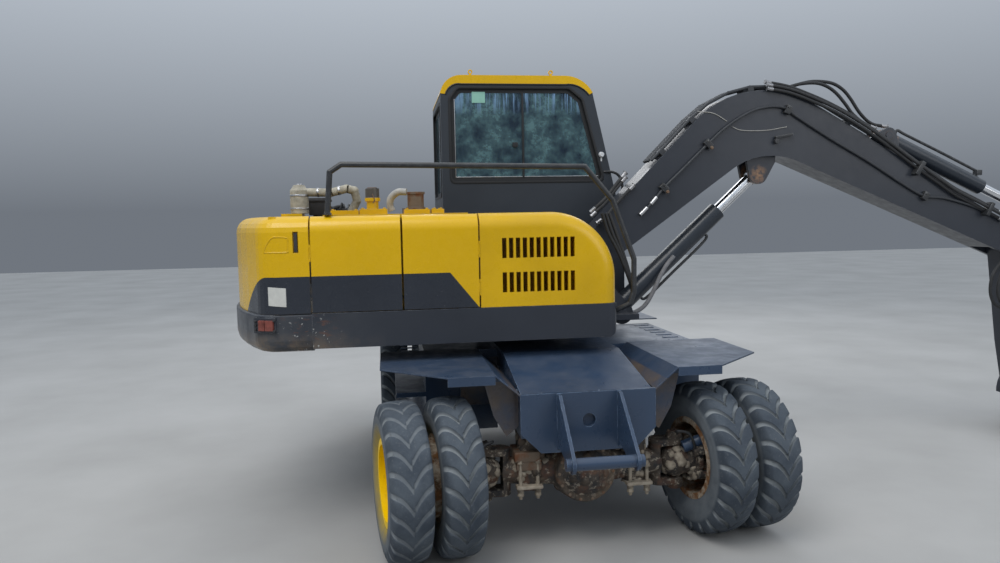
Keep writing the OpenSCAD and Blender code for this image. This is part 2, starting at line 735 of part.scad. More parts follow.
// The engine stands lengthwise across the body behind the cab, open to view from above
engine_x = -1180;
engine_y0 = -330;
engine_y1 = 480;
head_top = 1745;
air_cleaner = [-1592, -350];
module engine() {
    mid = (engine_y0 + engine_y1) / 2;
    color("dimgray") {
        translate([engine_x - 165, engine_y0, deck_top + 150]) cube([330, engine_y1 - engine_y0, 330]);
        translate([engine_x - 130, engine_y0 + 20, deck_top + rest_gap]) cube([260, engine_y1 - engine_y0 - 60, 160]);
        translate([engine_x - 105, engine_y0 + 20, deck_top + 470]) cube([210, engine_y1 - engine_y0 - 40, head_top - deck_top - 470]);
        for (y = [engine_y0 + 120:190:engine_y1 - 100]) translate([engine_x - 70, y - 70, head_top - 1])
            cube([140, 140, 61]);
        translate([engine_x, engine_y0 + 1, deck_top + 330]) rotate([90, 0, 0]) cylinder(r = 190, h = 80);
        translate([engine_x, engine_y1 - 1, deck_top + 330]) rotate([-90, 0, 0]) cylinder(r = 95, h = 50);
        translate([engine_x - 120, engine_y1 - 1, deck_top + 470]) rotate([-90, 0, 0]) cylinder(r = 60, h = 50);
        translate([engine_x - 230, engine_y0 + 60, deck_top + 520]) cube([130, engine_y1 - engine_y0 - 120, 90]);
        translate([engine_x + 100, engine_y0 + 60, deck_top + 500]) cube([90, engine_y1 - engine_y0 - 120, 80]);
        for (y = [mid - 260, mid + 260]) translate([engine_x + 200, y, deck_top + 250]) cylinder(r = 52, h = 190);
    }
    // Air cleaner on the tail and its pipe to the intake
    color("tan") {
        translate([air_cleaner[0], air_cleaner[1], hood_top + 24]) {
            cylinder(r = 58, h = 150);
            translate([0, 0, 148]) cylinder(r1 = 58, r2 = 34, h = 36);
        }
        bent_bar([[air_cleaner[0] + 40, air_cleaner[1], 2018], [-1390, -350, 2014], [-1290, -350, 2038],
            [-1240, -340, 2026], [-1225, -320, 1960], [engine_x - 165, -250, 1745]], 27);
    }
}

// Radiator with fan shroud and fan at the left, and its hoses
module radiator() {
    y0 = 720;
    mid_z = deck_top + 330;
    color("dimgray") {
        difference() {
            translate([engine_x - 270, y0, deck_top + rest_gap]) cube([540, 130, 640]);
            translate([engine_x - 230, y0 + 30, deck_top + 40]) cube([460, 101, 560]);
        }
        for (i = [0:10]) translate([engine_x - 231, y0 + 40, deck_top + 60 + i * 50]) cube([462, 80, 14]);
        difference() {
            translate([engine_x, y0 + 1, mid_z]) rotate([90, 0, 0]) cylinder(r = 255, h = 70);
            translate([engine_x, y0 + 2, mid_z]) rotate([90, 0, 0]) cylinder(r = 235, h = 80);
        }
        translate([engine_x - 60, y0 + 20, deck_top + 639]) cube([120, 80, 60]);
        translate([engine_x, engine_y1 + 49 + rest_gap, mid_z]) rotate([-90, 0, 0]) {
            cylinder(r = 60, h = 110);
            for (a = [0:60:300]) rotate([0, 0, a]) translate([40, -35, 60]) rotate([25, 0, 0]) cube([160, 70, 6]);
        }
    }
}

// Rusty oil filter head on the cover, and the muffler behind the engine
module exhaust() {
    color("saddlebrown") {
        translate([-857, -740, tank_top + 27 + rest_gap]) {
            cylinder(r = 50, h = 105);
            cylinder(r = 58, h = 14);
            translate([0, 0, 92]) cylinder(r = 56, h = 14);
        }
        translate([engine_x + 290, -150, head_top - 80]) {
            rotate([-90, 0, 0]) cylinder(r = 75, h = 430);
            translate([0, 360, 20]) cylinder(r = 30, h = 230);
        }
        translate([engine_x + 190 + rest_gap, 40, deck_top + 540]) rotate([0, 90, 0]) cylinder(r = 25, h = 60);
    }
}

// Handrail over the right housing
module rail_run(pts, r) {
    for (i = [0:len(pts) - 2]) hull() {
        translate(pts[i]) sphere(r = r, $fn = 12);
        translate(pts[i + 1]) sphere(r = r, $fn = 12);
    }
}

module handrail() {
    y = -side_y + 50;
    color("dimgray") {
        rail_run([[-1370, y, hood_top + 18], [-1350, y, 2105], [-1286, y, 2147], [144, y, 2122],
            [315, y, 1919], [445, y, 1562], [443, y, 1360], [420, y, 1290], [hood_front_x + 18, y + 40, 1250]], 17);
        translate([-1390, y - 12, tank_top + rest_gap]) cube([40, 77, 12]);
    }
}

// Cab side outline, from the rear foot round to the front foot
module cab_outline(inset) {
    polygon(concat([[cab_rear_x + inset, deck_top + rest_gap + inset], [cab_rear_x + inset, 2700]],
        arc([cab_rear_x + 150, cab_top - 150], 150 - inset, 170, 90, 5),
        arc([300, cab_top - 240], 240 - inset, 90, 30, 5),
        [[700 - inset, 1910], [745 - inset, 1500], [745 - inset, deck_top + rest_gap + inset]]));
}

module window_right() {
    polygon([[-560, 2095], [-560, 2700], [-500, 2780], [330, 2780], [430, 2700], [590, 2095]]);
}

module door_shape(g) {
    polygon([[-60 + g, 1200 + g], [-60 + g, 2740 - g], [330 - g, 2740 - g], [430 - g, 2680 - g],
        [600 - g, 1910], [640 - g, 1500], [640 - g, 1200 + g]]);
}

module door_window(g) {
    polygon([[0 + g, 1900 + g], [0 + g, 2680 - g], [320 - g, 2680 - g], [385 - g, 2640 - g],
        [555 - g, 1900 + g]]);
}

module cab_shell() {
    color("darkslategray") difference() {
        side_plate(cab_right, cab_left) cab_outline(0);
        side_plate(cab_right + cab_wall, cab_left - cab_wall) cab_outline(cab_wall);
        side_plate(cab_right - 1, cab_right + cab_wall + 1) window_right();
        side_plate(cab_left - cab_wall - 1, cab_left + 1) door_shape(0);
        side_plate(cab_left - cab_wall - 1, cab_left + 1)
            polygon([[-560, 2000], [-560, 2700], [-130, 2700], [-130, 2000]]);
        translate([cab_rear_x - 1, cab_right + 80, 2000]) cube([cab_wall + 2, 740, 680]);
        translate([400, cab_right + 60, 1950]) cube([500, cab_left - cab_right - 120, 720]);
    }
    color("gold") for (x = [-400, 200], y = [cab_right + 40, cab_left - 40]) translate([x, y, cab_top - 2]) {
        translate([-9, -8, 0]) cube([18, 16, 24]);
        translate([0, 8, 34]) rotate([90, 0, 0]) difference() {
            cylinder(r = 17, h = 16);
            translate([0, 0, -1]) cylinder(r = 9, h = 18);
        }
    }
    color("dimgray") cab_hinge_posts();
}

// Front edge of the cab seen from the side, for the windscreen
front_line = [[508, 2746], [700, 1910]];
function on_front(z, off) = let (t = (front_line[0][1] - z) / (front_line[0][1] - front_line[1][1]))
    [front_line[0][0] + t * (front_line[1][0] - front_line[0][0]) - off, z];

module cab_glass() {
    color("lightblue") {
        side_plate(cab_right + 20, cab_right + 26) offset(delta = -rest_gap) window_right();
        side_plate(cab_left - 26, cab_left - 20) translate([-560 + rest_gap, 2000 + rest_gap])
            square([430 - 2 * rest_gap, 700 - 2 * rest_gap]);
        translate([cab_rear_x + 20, cab_right + 80 + rest_gap, 2000 + rest_gap])
            cube([6, 740 - 2 * rest_gap, 680 - 2 * rest_gap]);
        side_plate(cab_right + 60 + rest_gap, cab_left - 60 - rest_gap)
            polygon([on_front(1950.5, 20), on_front(2669.5, 20), on_front(2669.5, 28), on_front(1950.5, 28)]);
    }
}

// Cab door hinges at the door's rear edge
cab_hinge = [-60, cab_left + hinge_r + 1];
cab_hinge_z = [1330, 2450];
module cab_hinge_posts() {
    for (z = cab_hinge_z) {
        translate([cab_hinge[0], cab_hinge[1], z - 18]) cylinder(r = hinge_pin_r, h = hinge_h + 36);
        for (dz = [-18, hinge_h + rest_gap]) hull() {
            translate([cab_hinge[0], cab_hinge[1], z + dz]) cylinder(r = hinge_r, h = 18 - rest_gap);
            translate([cab_hinge[0] - 50, cab_left, z + dz]) cube([20, 8, 18 - rest_gap]);
        }
    }
}

module cab_door() {
    color("darkslategray") {
        difference() {
            side_plate(cab_left - 40, cab_left) door_shape(6);
            side_plate(cab_left - 41, cab_left + 1) door_window(0);
        }
        for (z = cab_hinge_z) difference() {
            hull() {
                translate([cab_hinge[0], cab_hinge[1], z]) cylinder(r = hinge_r, h = hinge_h);
                translate([cab_hinge[0] + 20, cab_left, z]) cube([20, 8, hinge_h]);
            }
            translate([cab_hinge[0], cab_hinge[1], z - 1]) cylinder(r = hinge_pin_r + rest_gap, h = hinge_h + 2);
        }
    }
}

module door_glass() {
    color("lightblue") side_plate(cab_left - 24, cab_left - 18) door_window(rest_gap);
}

module seat() {
    color("dimgray") {
        translate([-330, 370, deck_top + cab_wall + 2 * rest_gap]) cube([430, 450, 380]);
        side_plate(350, 840) hull() for (p = [[-350, 1600], [60, 1615]]) translate(p) circle(r = 58);
        side_plate(366, 824) hull() for (p = [[-385, 1640], [-455, 2180]]) translate(p) circle(r = 52);
        side_plate(480, 710) hull() for (p = [[-470, 2290], [-478, 2400]]) translate(p) circle(r = 40);
        for (y = [520, 650]) side_plate(y, y + 16) polygon([[-470, 2200], [-450, 2200], [-462, 2300], [-482, 2300]]);
        for (y = [326, 822]) side_plate(y, y + 42) hull() for (p = [[-400, 1840], [-90, 1830]]) translate(p)
            circle(r = 28);
    }
}

module console() {
    color("dimgray") {
        for (y = [220, 870]) translate([-380, y, deck_top + cab_wall + 2 * rest_gap]) cube([560, 100, 550]);
        hull() {
            translate([430, 560, deck_top + cab_wall + 2 * rest_gap]) cube([90, 70, 40]);
            translate([385, 575, 1770]) cube([40, 40, 40]);
        }
        translate([400, 595, 1800]) rotate([0, -22, 0]) {
            difference() {
                cylinder(r = 170, h = 24);
                translate([0, 0, -1]) cylinder(r = 148, h = 30);
            }
            cylinder(r = 35, h = 24);
            for (a = [90, 210, 330]) rotate([0, 0, a]) translate([20, -12, 4]) cube([135, 24, 12]);
        }
    }
}

// The boom: a box section bent at the knee
boom_back_c = [1694, 1957];
boom_back_r = 756;
boom_belly_c = [1746, 1718];
boom_belly_r = 525;
foot_r = 105;
nose_r = 100;
back_a0 = dir(boom_foot, boom_back_c) + acos((foot_r - boom_back_r) / dist(boom_foot, boom_back_c));
back_a1 = dir(boom_back_c, boom_nose) + acos((boom_back_r - nose_r) / dist(boom_back_c, boom_nose));
function on_circle(c, r, a) = c + r * [cos(a), sin(a)];
module boom_profile() {
    b0 = on_circle(boom_back_c, boom_back_r, back_a0);
    b1 = on_circle(boom_back_c, boom_back_r, back_a1);
    difference() {
        union() {
            polygon([on_circle(boom_foot, foot_r, 305), on_circle(boom_foot, foot_r, back_a0), b0, b1,
                on_circle(boom_nose, nose_r, back_a1), on_circle(boom_nose, nose_r, -113),
                on_circle(boom_belly_c, boom_belly_r, 67), on_circle(boom_belly_c, boom_belly_r, 124)]);
            intersection() {
                translate(boom_back_c) circle(r = boom_back_r, $fn = 96);
                polygon([b0, [b0[0], b0[1] + boom_back_r], [b1[0], b0[1] + boom_back_r], b1]);
            }
            translate(boom_foot) circle(r = foot_r);
            translate(boom_nose) circle(r = nose_r);
        }
        translate(boom_belly_c) circle(r = boom_belly_r, $fn = 96);
    }
}

module boom() {
    fork_gap = arm_w / 2 + move_gap;
    color("darkslategray") difference() {
        union() {
            side_plate(boom_y - boom_w / 2, boom_y + boom_w / 2) boom_profile();
            for (s = [-1, 1]) side_plate(boom_y + s * 70 - 15, boom_y + s * 70 + 15) hull() {
                translate(boom_cyl_eye) circle(r = 70);
                translate([boom_cyl_eye[0] - 90, boom_cyl_eye[1] + 90]) square([220, 60]);
            }
            for (s = [-1, 1]) side_plate(boom_y + s * 81 - 15, boom_y + s * 81 + 15) hull() {
                translate(arm_cyl_foot) circle(r = 60);
                translate([arm_cyl_foot[0] - 220, arm_cyl_foot[1] - 80]) square([300, 20]);
            }
        }
        side_plate(boom_y - fork_gap, boom_y + fork_gap) hull() {
            translate(boom_nose) circle(r = 225);
            translate(boom_nose + [-70, -90]) circle(r = 225);
            translate(boom_nose + [300, 0]) circle(r = 225);
        }
        side_plate(boom_y - 55, boom_y + 55) hull() {
            translate(boom_cyl_eye) circle(r = 64);
            translate(boom_cyl_eye + [-103, 116]) circle(r = 66);
            translate(boom_cyl_eye + [-440, -190]) circle(r = 60);
            translate(boom_cyl_eye + [-200, -250]) circle(r = 60);
        }
        bar_y(boom_foot, boom_pin_r + rest_gap, boom_y - 200, boom_y + 200);
    }
    color("silver") bar_y(boom_nose, boom_pin_r, boom_y - boom_w / 2 - 12, boom_y + boom_w / 2 + 12);
    color("silver") bar_y(arm_cyl_foot, 28, boom_y - 104, boom_y + 104);
}

// Oil pipes along the boom's back in clamp blocks
pipe_r = 11;
pipe_rise = 32;
pipe_rows = [-113, -42, -14, 14, 42];
module boom_pipes() {
    r = boom_back_r + pipe_rise;
    down = back_a1 - 90;
    start = on_circle(boom_back_c, r, back_a0);
    bend = on_circle(boom_back_c, r, back_a1);
    run = 1180;
    rise = [cos(back_a0 - 90), sin(back_a0 - 90)];
    low = start - 420 * rise;
    end = bend + run * [cos(down), sin(down)];
    arc_points = [for (i = [0:6]) on_circle(boom_back_c, r, back_a0 + (back_a1 - back_a0) * i / 6)];
    points = concat([low], arc_points, [end]);
    color("dimgray") {
        for (dy = pipe_rows) let (y = boom_y + dy) {
            bent_bar([for (q = points) [q[0], y, q[1]]], pipe_r);
        }
        for (a = [back_a0, 98, back_a1]) translate([boom_back_c[0], boom_y, boom_back_c[1]])
            rotate([0, -a, 0]) translate([boom_back_r + rest_gap + 0.6, -125, -22]) cube([pipe_rise + 4, 180, 44]);
        for (t = [300, 1100]) translate([bend[0], boom_y, bend[1]]) rotate([0, -down, 0])
            translate([t, -125, -pipe_rise + rest_gap]) cube([44, 180, pipe_rise + 4]);
        translate([low[0], boom_y, low[1]]) rotate([0, -(back_a0 - 90), 0])
            translate([80, -125, -pipe_rise + rest_gap]) cube([44, 180, pipe_rise + 4]);
    }
}

// Arm points in its own frame: the boom pin is [0, 0] and the arm hangs down
arm_tip = [0, -arm_len];
arm_lever = [216, 234];
bucket_cyl_foot = [250, -10];
rocker_pin = arm_tip + [5, 340];
rocker_len = 320;
link_len = 360;
bucket_pin_gap = 250;
bucket_pin_rest = 61;
bucket_pin = arm_tip + bucket_pin_gap * [cos(bucket_pin_rest), sin(bucket_pin_rest)];
rocker_span = dist(rocker_pin, bucket_pin);
rocker_rest = dir(rocker_pin, bucket_pin)
    + acos((rocker_len * rocker_len + rocker_span * rocker_span - link_len * link_len)
        / (2 * rocker_len * rocker_span));
rocker_tip = rocker_pin + rocker_len * [cos(rocker_rest), sin(rocker_rest)];

module on_arm() {
    translate([boom_nose[0], boom_y, boom_nose[1]]) rotate([0, -arm_tilt, 0]) children();
}

module arm_profile() {
    polygon(concat([[-112, -750], [-125, -86]], arc([0, 0], 130, 185, 110, 5), arc(arm_lever, 62, 120, -20, 8),
        arc(bucket_cyl_foot, 58, 20, -70, 6), [[130, -300], [78, -arm_len + 330]],
        arc(arm_tip, 75, 20, -200, 12)));
}

module arm() {
    color("darkslategray") on_arm() {
        difference() {
            side_plate(-arm_w / 2, arm_w / 2) arm_profile();
            side_plate(-50, 50) hull() {
                translate(arm_lever) circle(r = 64);
                for (p = [[110, 10], [-10, 150], [-230, -40], [-60, 180]])
                    translate(arm_lever + p) circle(r = 60);
            }
            side_plate(-55, 55) hull() {
                translate(bucket_cyl_foot) circle(r = 75);
                translate(bucket_cyl_foot + [160, 0]) circle(r = 75);
                translate(bucket_cyl_foot + [0, -260]) circle(r = 75);
            }
            bar_y([0, 0], boom_pin_r + rest_gap, -200, 200);
            bar_y(rocker_pin, 25 + rest_gap, -200, 200);
            bar_y(arm_tip, 30 + rest_gap, -200, 200);
        }
        bar_y(bucket_cyl_foot, 25, -60, 60);
    }
}

module rocker() {
    color("darkslategray") on_arm() {
        for (s = [-1, 1]) side_plate(s * (arm_w / 2 + move_gap + 9) - 9, s * (arm_w / 2 + move_gap + 9) + 9)
            hull() {
                translate(rocker_pin) circle(r = 50);
                translate(rocker_tip) circle(r = 45);
            }
        bar_y(rocker_pin, 25, -arm_w / 2 - 15, arm_w / 2 + 15);
    }
}

module bucket_link() {
    color("darkslategray") on_arm() difference() {
        union() {
            for (s = [-1, 1]) side_plate(s * 70 - 10, s * 70 + 10) hull() {
                translate(bucket_pin) circle(r = 45);
                translate(rocker_tip) circle(r = 40);
            }
            bar_y(bucket_pin, 45, -80, 80);
        }
        bar_y(bucket_pin, 25 + rest_gap, -100, 100);
    }
}

// Bucket section in its own frame: the arm pin is [0, 0], +X runs along the mouth to the teeth
// and +Y into the bucket. The back is an arc that ends in a straight floor up to the lip.
bucket_c = [340, 145];
bucket_r = 280;
floor_angle = 49;
mouth = 60;
bucket_t = 18;
function lip_point(r, v) = let (e = bucket_c + r * [cos(floor_angle), sin(floor_angle)],
    t = (e[1] - v) / cos(floor_angle)) [e[0] + t * sin(floor_angle), v];

module bucket_section(inset, v) {
    polygon(concat([lip_point(bucket_r - inset, v), [75 + inset, v]],
        arc(bucket_c, bucket_r - inset, 190, floor_angle, 12)));
}

module tooth() {
    p = lip_point(bucket_r - bucket_t / 2, mouth);
    translate([p[0], 0, p[1]]) rotate([0, 90 - floor_angle, 0]) hull() {
        translate([-35, -24, -14]) cube([60, 48, 28]);
        translate([75, -14, -4]) cube([8, 28, 8]);
    }
}

module in_bucket() {
    translate([arm_tip[0], 0, arm_tip[1]]) rotate([0, -bucket_rest, 0]) children();
}

module bucket() {
    ear_in = arm_w / 2 + move_gap;
    color("darkslategray") on_arm() {
        in_bucket() {
            difference() {
                side_plate(-bucket_w / 2, bucket_w / 2) bucket_section(0, mouth);
                side_plate(-bucket_w / 2 + bucket_t, bucket_w / 2 - bucket_t)
                    bucket_section(bucket_t, mouth - 20);
            }
            for (i = [-2:2]) translate([0, i * (bucket_w - 70) / 4, 0]) tooth();
            for (s = [-1, 1]) side_plate(s * (ear_in + 11) - 11, s * (ear_in + 11) + 11)
                difference() {
                    hull() {
                        circle(r = 70);
                        translate(bucket_pin_gap * [cos(bucket_pin_rest - bucket_rest),
                            sin(bucket_pin_rest - bucket_rest)]) circle(r = 50);
                        translate([130, 100]) circle(r = 40);
                        translate([70, 200]) circle(r = 20);
                    }
                }
        }
        bar_y(arm_tip, 30, -ear_in - 12, ear_in + 12);
        bar_y(bucket_pin, 25, -ear_in - 12, ear_in + 12);
    }
}

// A cylinder between two pins: a barrel with a foot eye, and a rod with an eye at its end
module barrel(p, q, r, len, eye_r, eye_w, pin_r) {
    start = eye_r + 35;
    translate([p[0], 0, p[1]]) rotate([0, 90 - dir(p, q), 0]) difference() {
        union() {
            translate([0, 0, start]) cylinder(r = r, h = len - start);
            cylinder(r = eye_w / 2 - 3, h = start + 5);
            rotate([90, 0, 0]) cylinder(r = eye_r, h = eye_w, center = true);
        }
        translate([0, 0, start + 30]) cylinder(r = r * 0.62 + rest_gap, h = len);
        rotate([90, 0, 0]) cylinder(r = pin_r + rest_gap, h = eye_w + 2, center = true);
    }
}

module rod(p, q, r, start, eye_r, eye_w) {
    translate([p[0], 0, p[1]]) rotate([0, 90 - dir(p, q), 0]) {
        difference() {
            union() {
                translate([0, 0, start]) cylinder(r = r * 0.62, h = dist(p, q) - start);
                translate([0, 0, dist(p, q)]) rotate([90, 0, 0]) cylinder(r = eye_r, h = eye_w, center = true);
            }
            translate([0, 0, dist(p, q)]) rotate([90, 0, 0]) cylinder(r = eye_r * 0.5, h = eye_w + 2, center = true);
        }
    }
}

module at_boom_y() {
    translate([0, boom_y, 0]) children();
}

module boom_barrel() {
    color("darkslategray") at_boom_y() barrel(boom_cyl_foot, boom_cyl_eye, boom_cyl_r, 1060, 62, 90, 32);
}

module boom_rod() {
    color("silver") at_boom_y() rod(boom_cyl_foot, boom_cyl_eye, boom_cyl_r, 500, 58, 90);
}

module arm_barrel() {
    color("darkslategray") at_boom_y() barrel(arm_cyl_foot, arm_cyl_eye, arm_cyl_r, 930, 52, 90, 28);
}

module arm_rod() {
    color("silver") at_boom_y() rod(arm_cyl_foot, arm_cyl_eye, arm_cyl_r, 500, 52, 80);
}

module bucket_barrel() {
    color("darkslategray") on_arm() barrel(bucket_cyl_foot, rocker_tip, 48, 650, 48, 80, 25);
}

module bucket_rod() {
    color("silver") on_arm() rod(bucket_cyl_foot, rocker_tip, 48, 117, 46, 80);
}

chassis_frame();
front_plate();
front_fenders();
rear_fenders();
side_boxes();
toolbox_lid();
front_axle();
rear_axle();
knuckle_left();
knuckle_right();
tie_rod();
rims_front_left();
tyres_front_left();
rims_front_right();
tyres_front_right();
rims_rear_left();
tyres_rear_left();
rims_rear_right();
tyres_rear_right();
slew_ring();
deck_frame();
counterweight();
tail_cover();
hood_front();
hood_left();
door_rear();
door_mid();
tank();
engine();
radiator();
exhaust();
handrail();
cab_shell();
cab_glass();
cab_door();
door_glass();
seat();
console();
boom();
boom_pipes();
arm();
bucket();
rocker();
bucket_link();
boom_barrel();
boom_rod();
arm_barrel();
arm_rod();
bucket_barrel();
bucket_rod();
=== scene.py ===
import json
import random
from math import cos, pi, radians, sin, sqrt, tan

import bmesh
import bpy
from mathutils import Matrix, Vector, noise


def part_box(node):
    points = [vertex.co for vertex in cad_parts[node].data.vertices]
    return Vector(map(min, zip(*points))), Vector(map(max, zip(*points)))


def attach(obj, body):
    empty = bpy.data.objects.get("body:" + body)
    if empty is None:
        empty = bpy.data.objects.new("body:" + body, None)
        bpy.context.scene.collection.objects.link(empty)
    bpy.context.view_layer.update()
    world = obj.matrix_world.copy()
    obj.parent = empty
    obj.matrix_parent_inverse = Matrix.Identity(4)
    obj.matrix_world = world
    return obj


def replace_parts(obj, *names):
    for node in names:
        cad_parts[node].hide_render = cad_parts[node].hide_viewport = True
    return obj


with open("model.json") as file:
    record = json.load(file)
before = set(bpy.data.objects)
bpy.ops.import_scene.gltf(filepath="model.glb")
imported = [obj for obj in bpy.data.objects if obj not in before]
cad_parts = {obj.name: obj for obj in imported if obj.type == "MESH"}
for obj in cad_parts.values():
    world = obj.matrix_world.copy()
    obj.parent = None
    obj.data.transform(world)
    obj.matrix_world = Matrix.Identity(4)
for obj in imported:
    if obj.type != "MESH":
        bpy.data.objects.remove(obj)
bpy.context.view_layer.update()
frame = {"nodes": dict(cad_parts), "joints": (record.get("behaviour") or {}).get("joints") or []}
NODES = frame["nodes"]
JOINTS = {joint["name"]: joint for joint in frame["joints"]}
COLLECTION = bpy.context.scene.collection

# Bodies that most pieces ride on
UPPER, BOOM, CHASSIS = "upper_body", "boom_body", "chassis_body"

# Camera of the photograph, in the frame of the part
IMAGE_W = 1000
CAMERA_AT = Vector((-1.0405, -5.5007, 1.807))
CAMERA_YAW = radians(-8.3202)
CAMERA_PITCH = radians(-4.4841)
CAMERA_ROLL = radians(-1.1158)
FOCAL_PX = 768.686
SENSOR_MM = 36.0

# Places and sizes of the frame, in metres and degrees, as in the part's source
TWIN_HALF = 0.137
LUGS = 24
AXLE_Y = -1.376
HUB_Z = 0.43
KINGPIN_X = 0.55
STEER_REST = 8
SIDE_Y = -1.045
CAB_RIGHT = 0.146
CAB_LEFT = 1.045
CAB_REAR = -0.625
CAB_TOP = 2.866
BOOM_NEAR = -0.21
EYE = (1.668, -0.08, 2.112)
ARM_FOOT = (2.7, -0.08, 2.39)
ARM_PIN = (3.83, -0.08, 1.53)
ARM_CYLINDER_AXIS, ARM_CYLINDER_UP = (0.909065, 0, -0.416655), (0.416655, 0, 0.909065)
BOOM_CYLINDER_FOOT = (0.6, -0.08, 1.14)
BOOM_CYLINDER_AXIS, BOOM_CYLINDER_SIDE = (0.739564, 0, 0.673086), (0.673086, 0, -0.739564)

# Sky colours, the heights they are blended between, and the lights: name, place, aim, power, colour
HORIZON, ZENITH = (0.17, 0.19, 0.22), (0.82, 0.9, 1.0)
SKY_FROM, SKY_TO, SKY_STRENGTH = 0.02, 0.55, 0.95
LIGHT_SIZE = 6
LIGHTS = (("key", (-4, -5, 10), (0, 0, 1), 560, (1, 0.98, 0.95)),
          ("fill", (7, -7, 5), (1, 0, 1), 160, (1, 1, 1)),
          ("back", (2, 8, 7), (0, 0, 1.5), 260, (1, 1, 1)))
FLOOR_SIZE, FLOOR_Z = 60, -0.002


def make_camera():
    data = bpy.data.cameras.new("camera")
    data.sensor_fit = "HORIZONTAL"
    data.sensor_width = SENSOR_MM
    data.lens = FOCAL_PX / IMAGE_W * SENSOR_MM
    data.clip_end = 200
    ahead = Vector((-sin(CAMERA_YAW) * cos(CAMERA_PITCH),
                    cos(CAMERA_YAW) * cos(CAMERA_PITCH), sin(CAMERA_PITCH)))
    right = ahead.cross(Vector((0, 0, 1))).normalized()
    up = right.cross(ahead)
    c, s = cos(CAMERA_ROLL), sin(CAMERA_ROLL)
    turn = Matrix((right * c + up * s, up * c - right * s, -ahead)).transposed().to_4x4()
    camera = bpy.data.objects.new("camera", data)
    camera.matrix_world = Matrix.Translation(CAMERA_AT) @ turn
    COLLECTION.objects.link(camera)
    bpy.context.scene.camera = camera


def area_light(name, at, aim, power, colour):
    data = bpy.data.lights.new(name, "AREA")
    data.energy = power
    data.size = LIGHT_SIZE
    data.color = colour
    light = bpy.data.objects.new(name, data)
    light.location = at
    light.rotation_euler = (Vector(aim) - Vector(at)).to_track_quat("-Z", "Y").to_euler()
    COLLECTION.objects.link(light)


def make_studio():
    bpy.context.scene.view_settings.view_transform = "Standard"
    bpy.context.scene.world = bpy.data.worlds.new("studio")
    sky = Look("studio", bpy.context.scene.world)
    share = sky.ramp(sky.axis("Z"), SKY_FROM, SKY_TO)
    sky.set(Color=sky.mix(share, HORIZON, ZENITH), Strength=SKY_STRENGTH)
    for light in LIGHTS:
        area_light(*light)
    bpy.ops.mesh.primitive_plane_add(size=FLOOR_SIZE, location=(0, 0, FLOOR_Z))
    floor = bpy.context.object
    floor.name = "floor"
    paint(floor, material_floor())


class Look:
    """A material, or the world, that is built node by node around one shader."""

    def __init__(self, name, world=None):
        self.material = world or bpy.data.materials.new(name)
        self.material.use_nodes = True
        self.tree = self.material.node_tree
        self.shader = self.tree.nodes["Background" if world else "Principled BSDF"]
        self.place = self.node("TexCoord").outputs["Generated" if world else "Object"]
        self.axes = None

    def node(self, kind, inputs=None, **values):
        made = self.tree.nodes.new("ShaderNode" + kind)
        for key, value in values.items():
            setattr(made, key, value)
        for key, value in (inputs or {}).items():
            self.put(made.inputs[key], value)
        return made

    def put(self, socket, value):
        if isinstance(value, bpy.types.NodeSocket):
            self.tree.links.new(value, socket)
        else:
            socket.default_value = value

    def set(self, **values):
        for key, value in values.items():
            socket = self.shader.inputs[key.replace("_", " ")]
            self.put(socket, (*value, 1) if isinstance(value, tuple) else value)

    def noise(self, scale, detail=4.0, rough=0.55, stretch=None):
        place = self.place
        if stretch:
            place = self.node("VectorMath", {0: place, 1: stretch}, operation="MULTIPLY").outputs[0]
        values = {"Vector": place, "Scale": scale, "Detail": detail, "Roughness": rough}
        return self.node("TexNoise", values).outputs["Fac"]

    def ramp(self, value, low, high, out_low=0.0, out_high=1.0):
        values = {"Value": value, "From Min": low, "From Max": high, "To Min": out_low, "To Max": out_high}
        return self.node("MapRange", values, clamp=True).outputs["Result"]

    def spots(self, pattern, low, high, out_low=0.0, out_high=1.0):
        """Noise of a scale, detail, roughness and stretch, spread from one level to another."""
        return self.ramp(self.noise(*pattern), low, high, out_low, out_high)

    def math(self, operation, *values):
        return self.node("Math", dict(enumerate(values)), operation=operation).outputs[0]

    def times(self, *factors):
        result = factors[0]
        for factor in factors[1:]:
            result = self.math("MULTIPLY", result, factor)
        return result

    def mix(self, share, *colours):
        a, b = [(*colour, 1) if isinstance(colour, tuple) else colour for colour in colours]
        return self.node("Mix", {"Factor": share, 6: a, 7: b}, data_type="RGBA").outputs[2]

    def cover(self, base, colour, *shares):
        """A colour laid over the base where the product of the shares says so."""
        return self.mix(self.times(*shares), base, colour)

    def axis(self, name):
        if self.axes is None:
            self.axes = self.node("SeparateXYZ", {0: self.place}).outputs
        return self.axes[name]

    def upward(self):
        return self.node("SeparateXYZ", {0: self.node("TexCoord").outputs["Normal"]}).outputs["Z"]

    def near(self, centre, radius, soft=0.03):
        """1 inside a ball about the centre, fading out over the soft rim."""
        away = self.node("VectorMath", {0: self.place, 1: centre}, operation="DISTANCE")
        return self.ramp(away.outputs["Value"], radius + soft, radius)

    def field(self, name):
        return self.node("Attribute", attribute_name=name).outputs["Fac"]

    def bevel(self, radius):
        return self.node("Bevel", {"Radius": radius}, samples=4).outputs["Normal"]

    def edges(self, radius=0.006):
        """1 on sharp edges, 0 on flat faces."""
        normals = {0: self.bevel(radius), 1: self.node("NewGeometry").outputs["Normal"]}
        product = self.node("VectorMath", normals, operation="DOT_PRODUCT")
        return self.ramp(product.outputs["Value"], 0.995, 0.85)

    def bump(self, value, strength, distance, radius=0.004):
        values = {"Strength": strength, "Distance": distance, "Height": value, "Normal": self.bevel(radius)}
        self.set(Normal=self.node("Bump", values).outputs["Normal"])


def material_floor():
    look = Look("pale_floor")
    share = look.ramp(look.noise(0.8), 0.3, 0.7)
    look.set(Base_Color=look.mix(share, (0.33, 0.325, 0.315), (0.39, 0.385, 0.375)), Roughness=0.9)
    return look.material


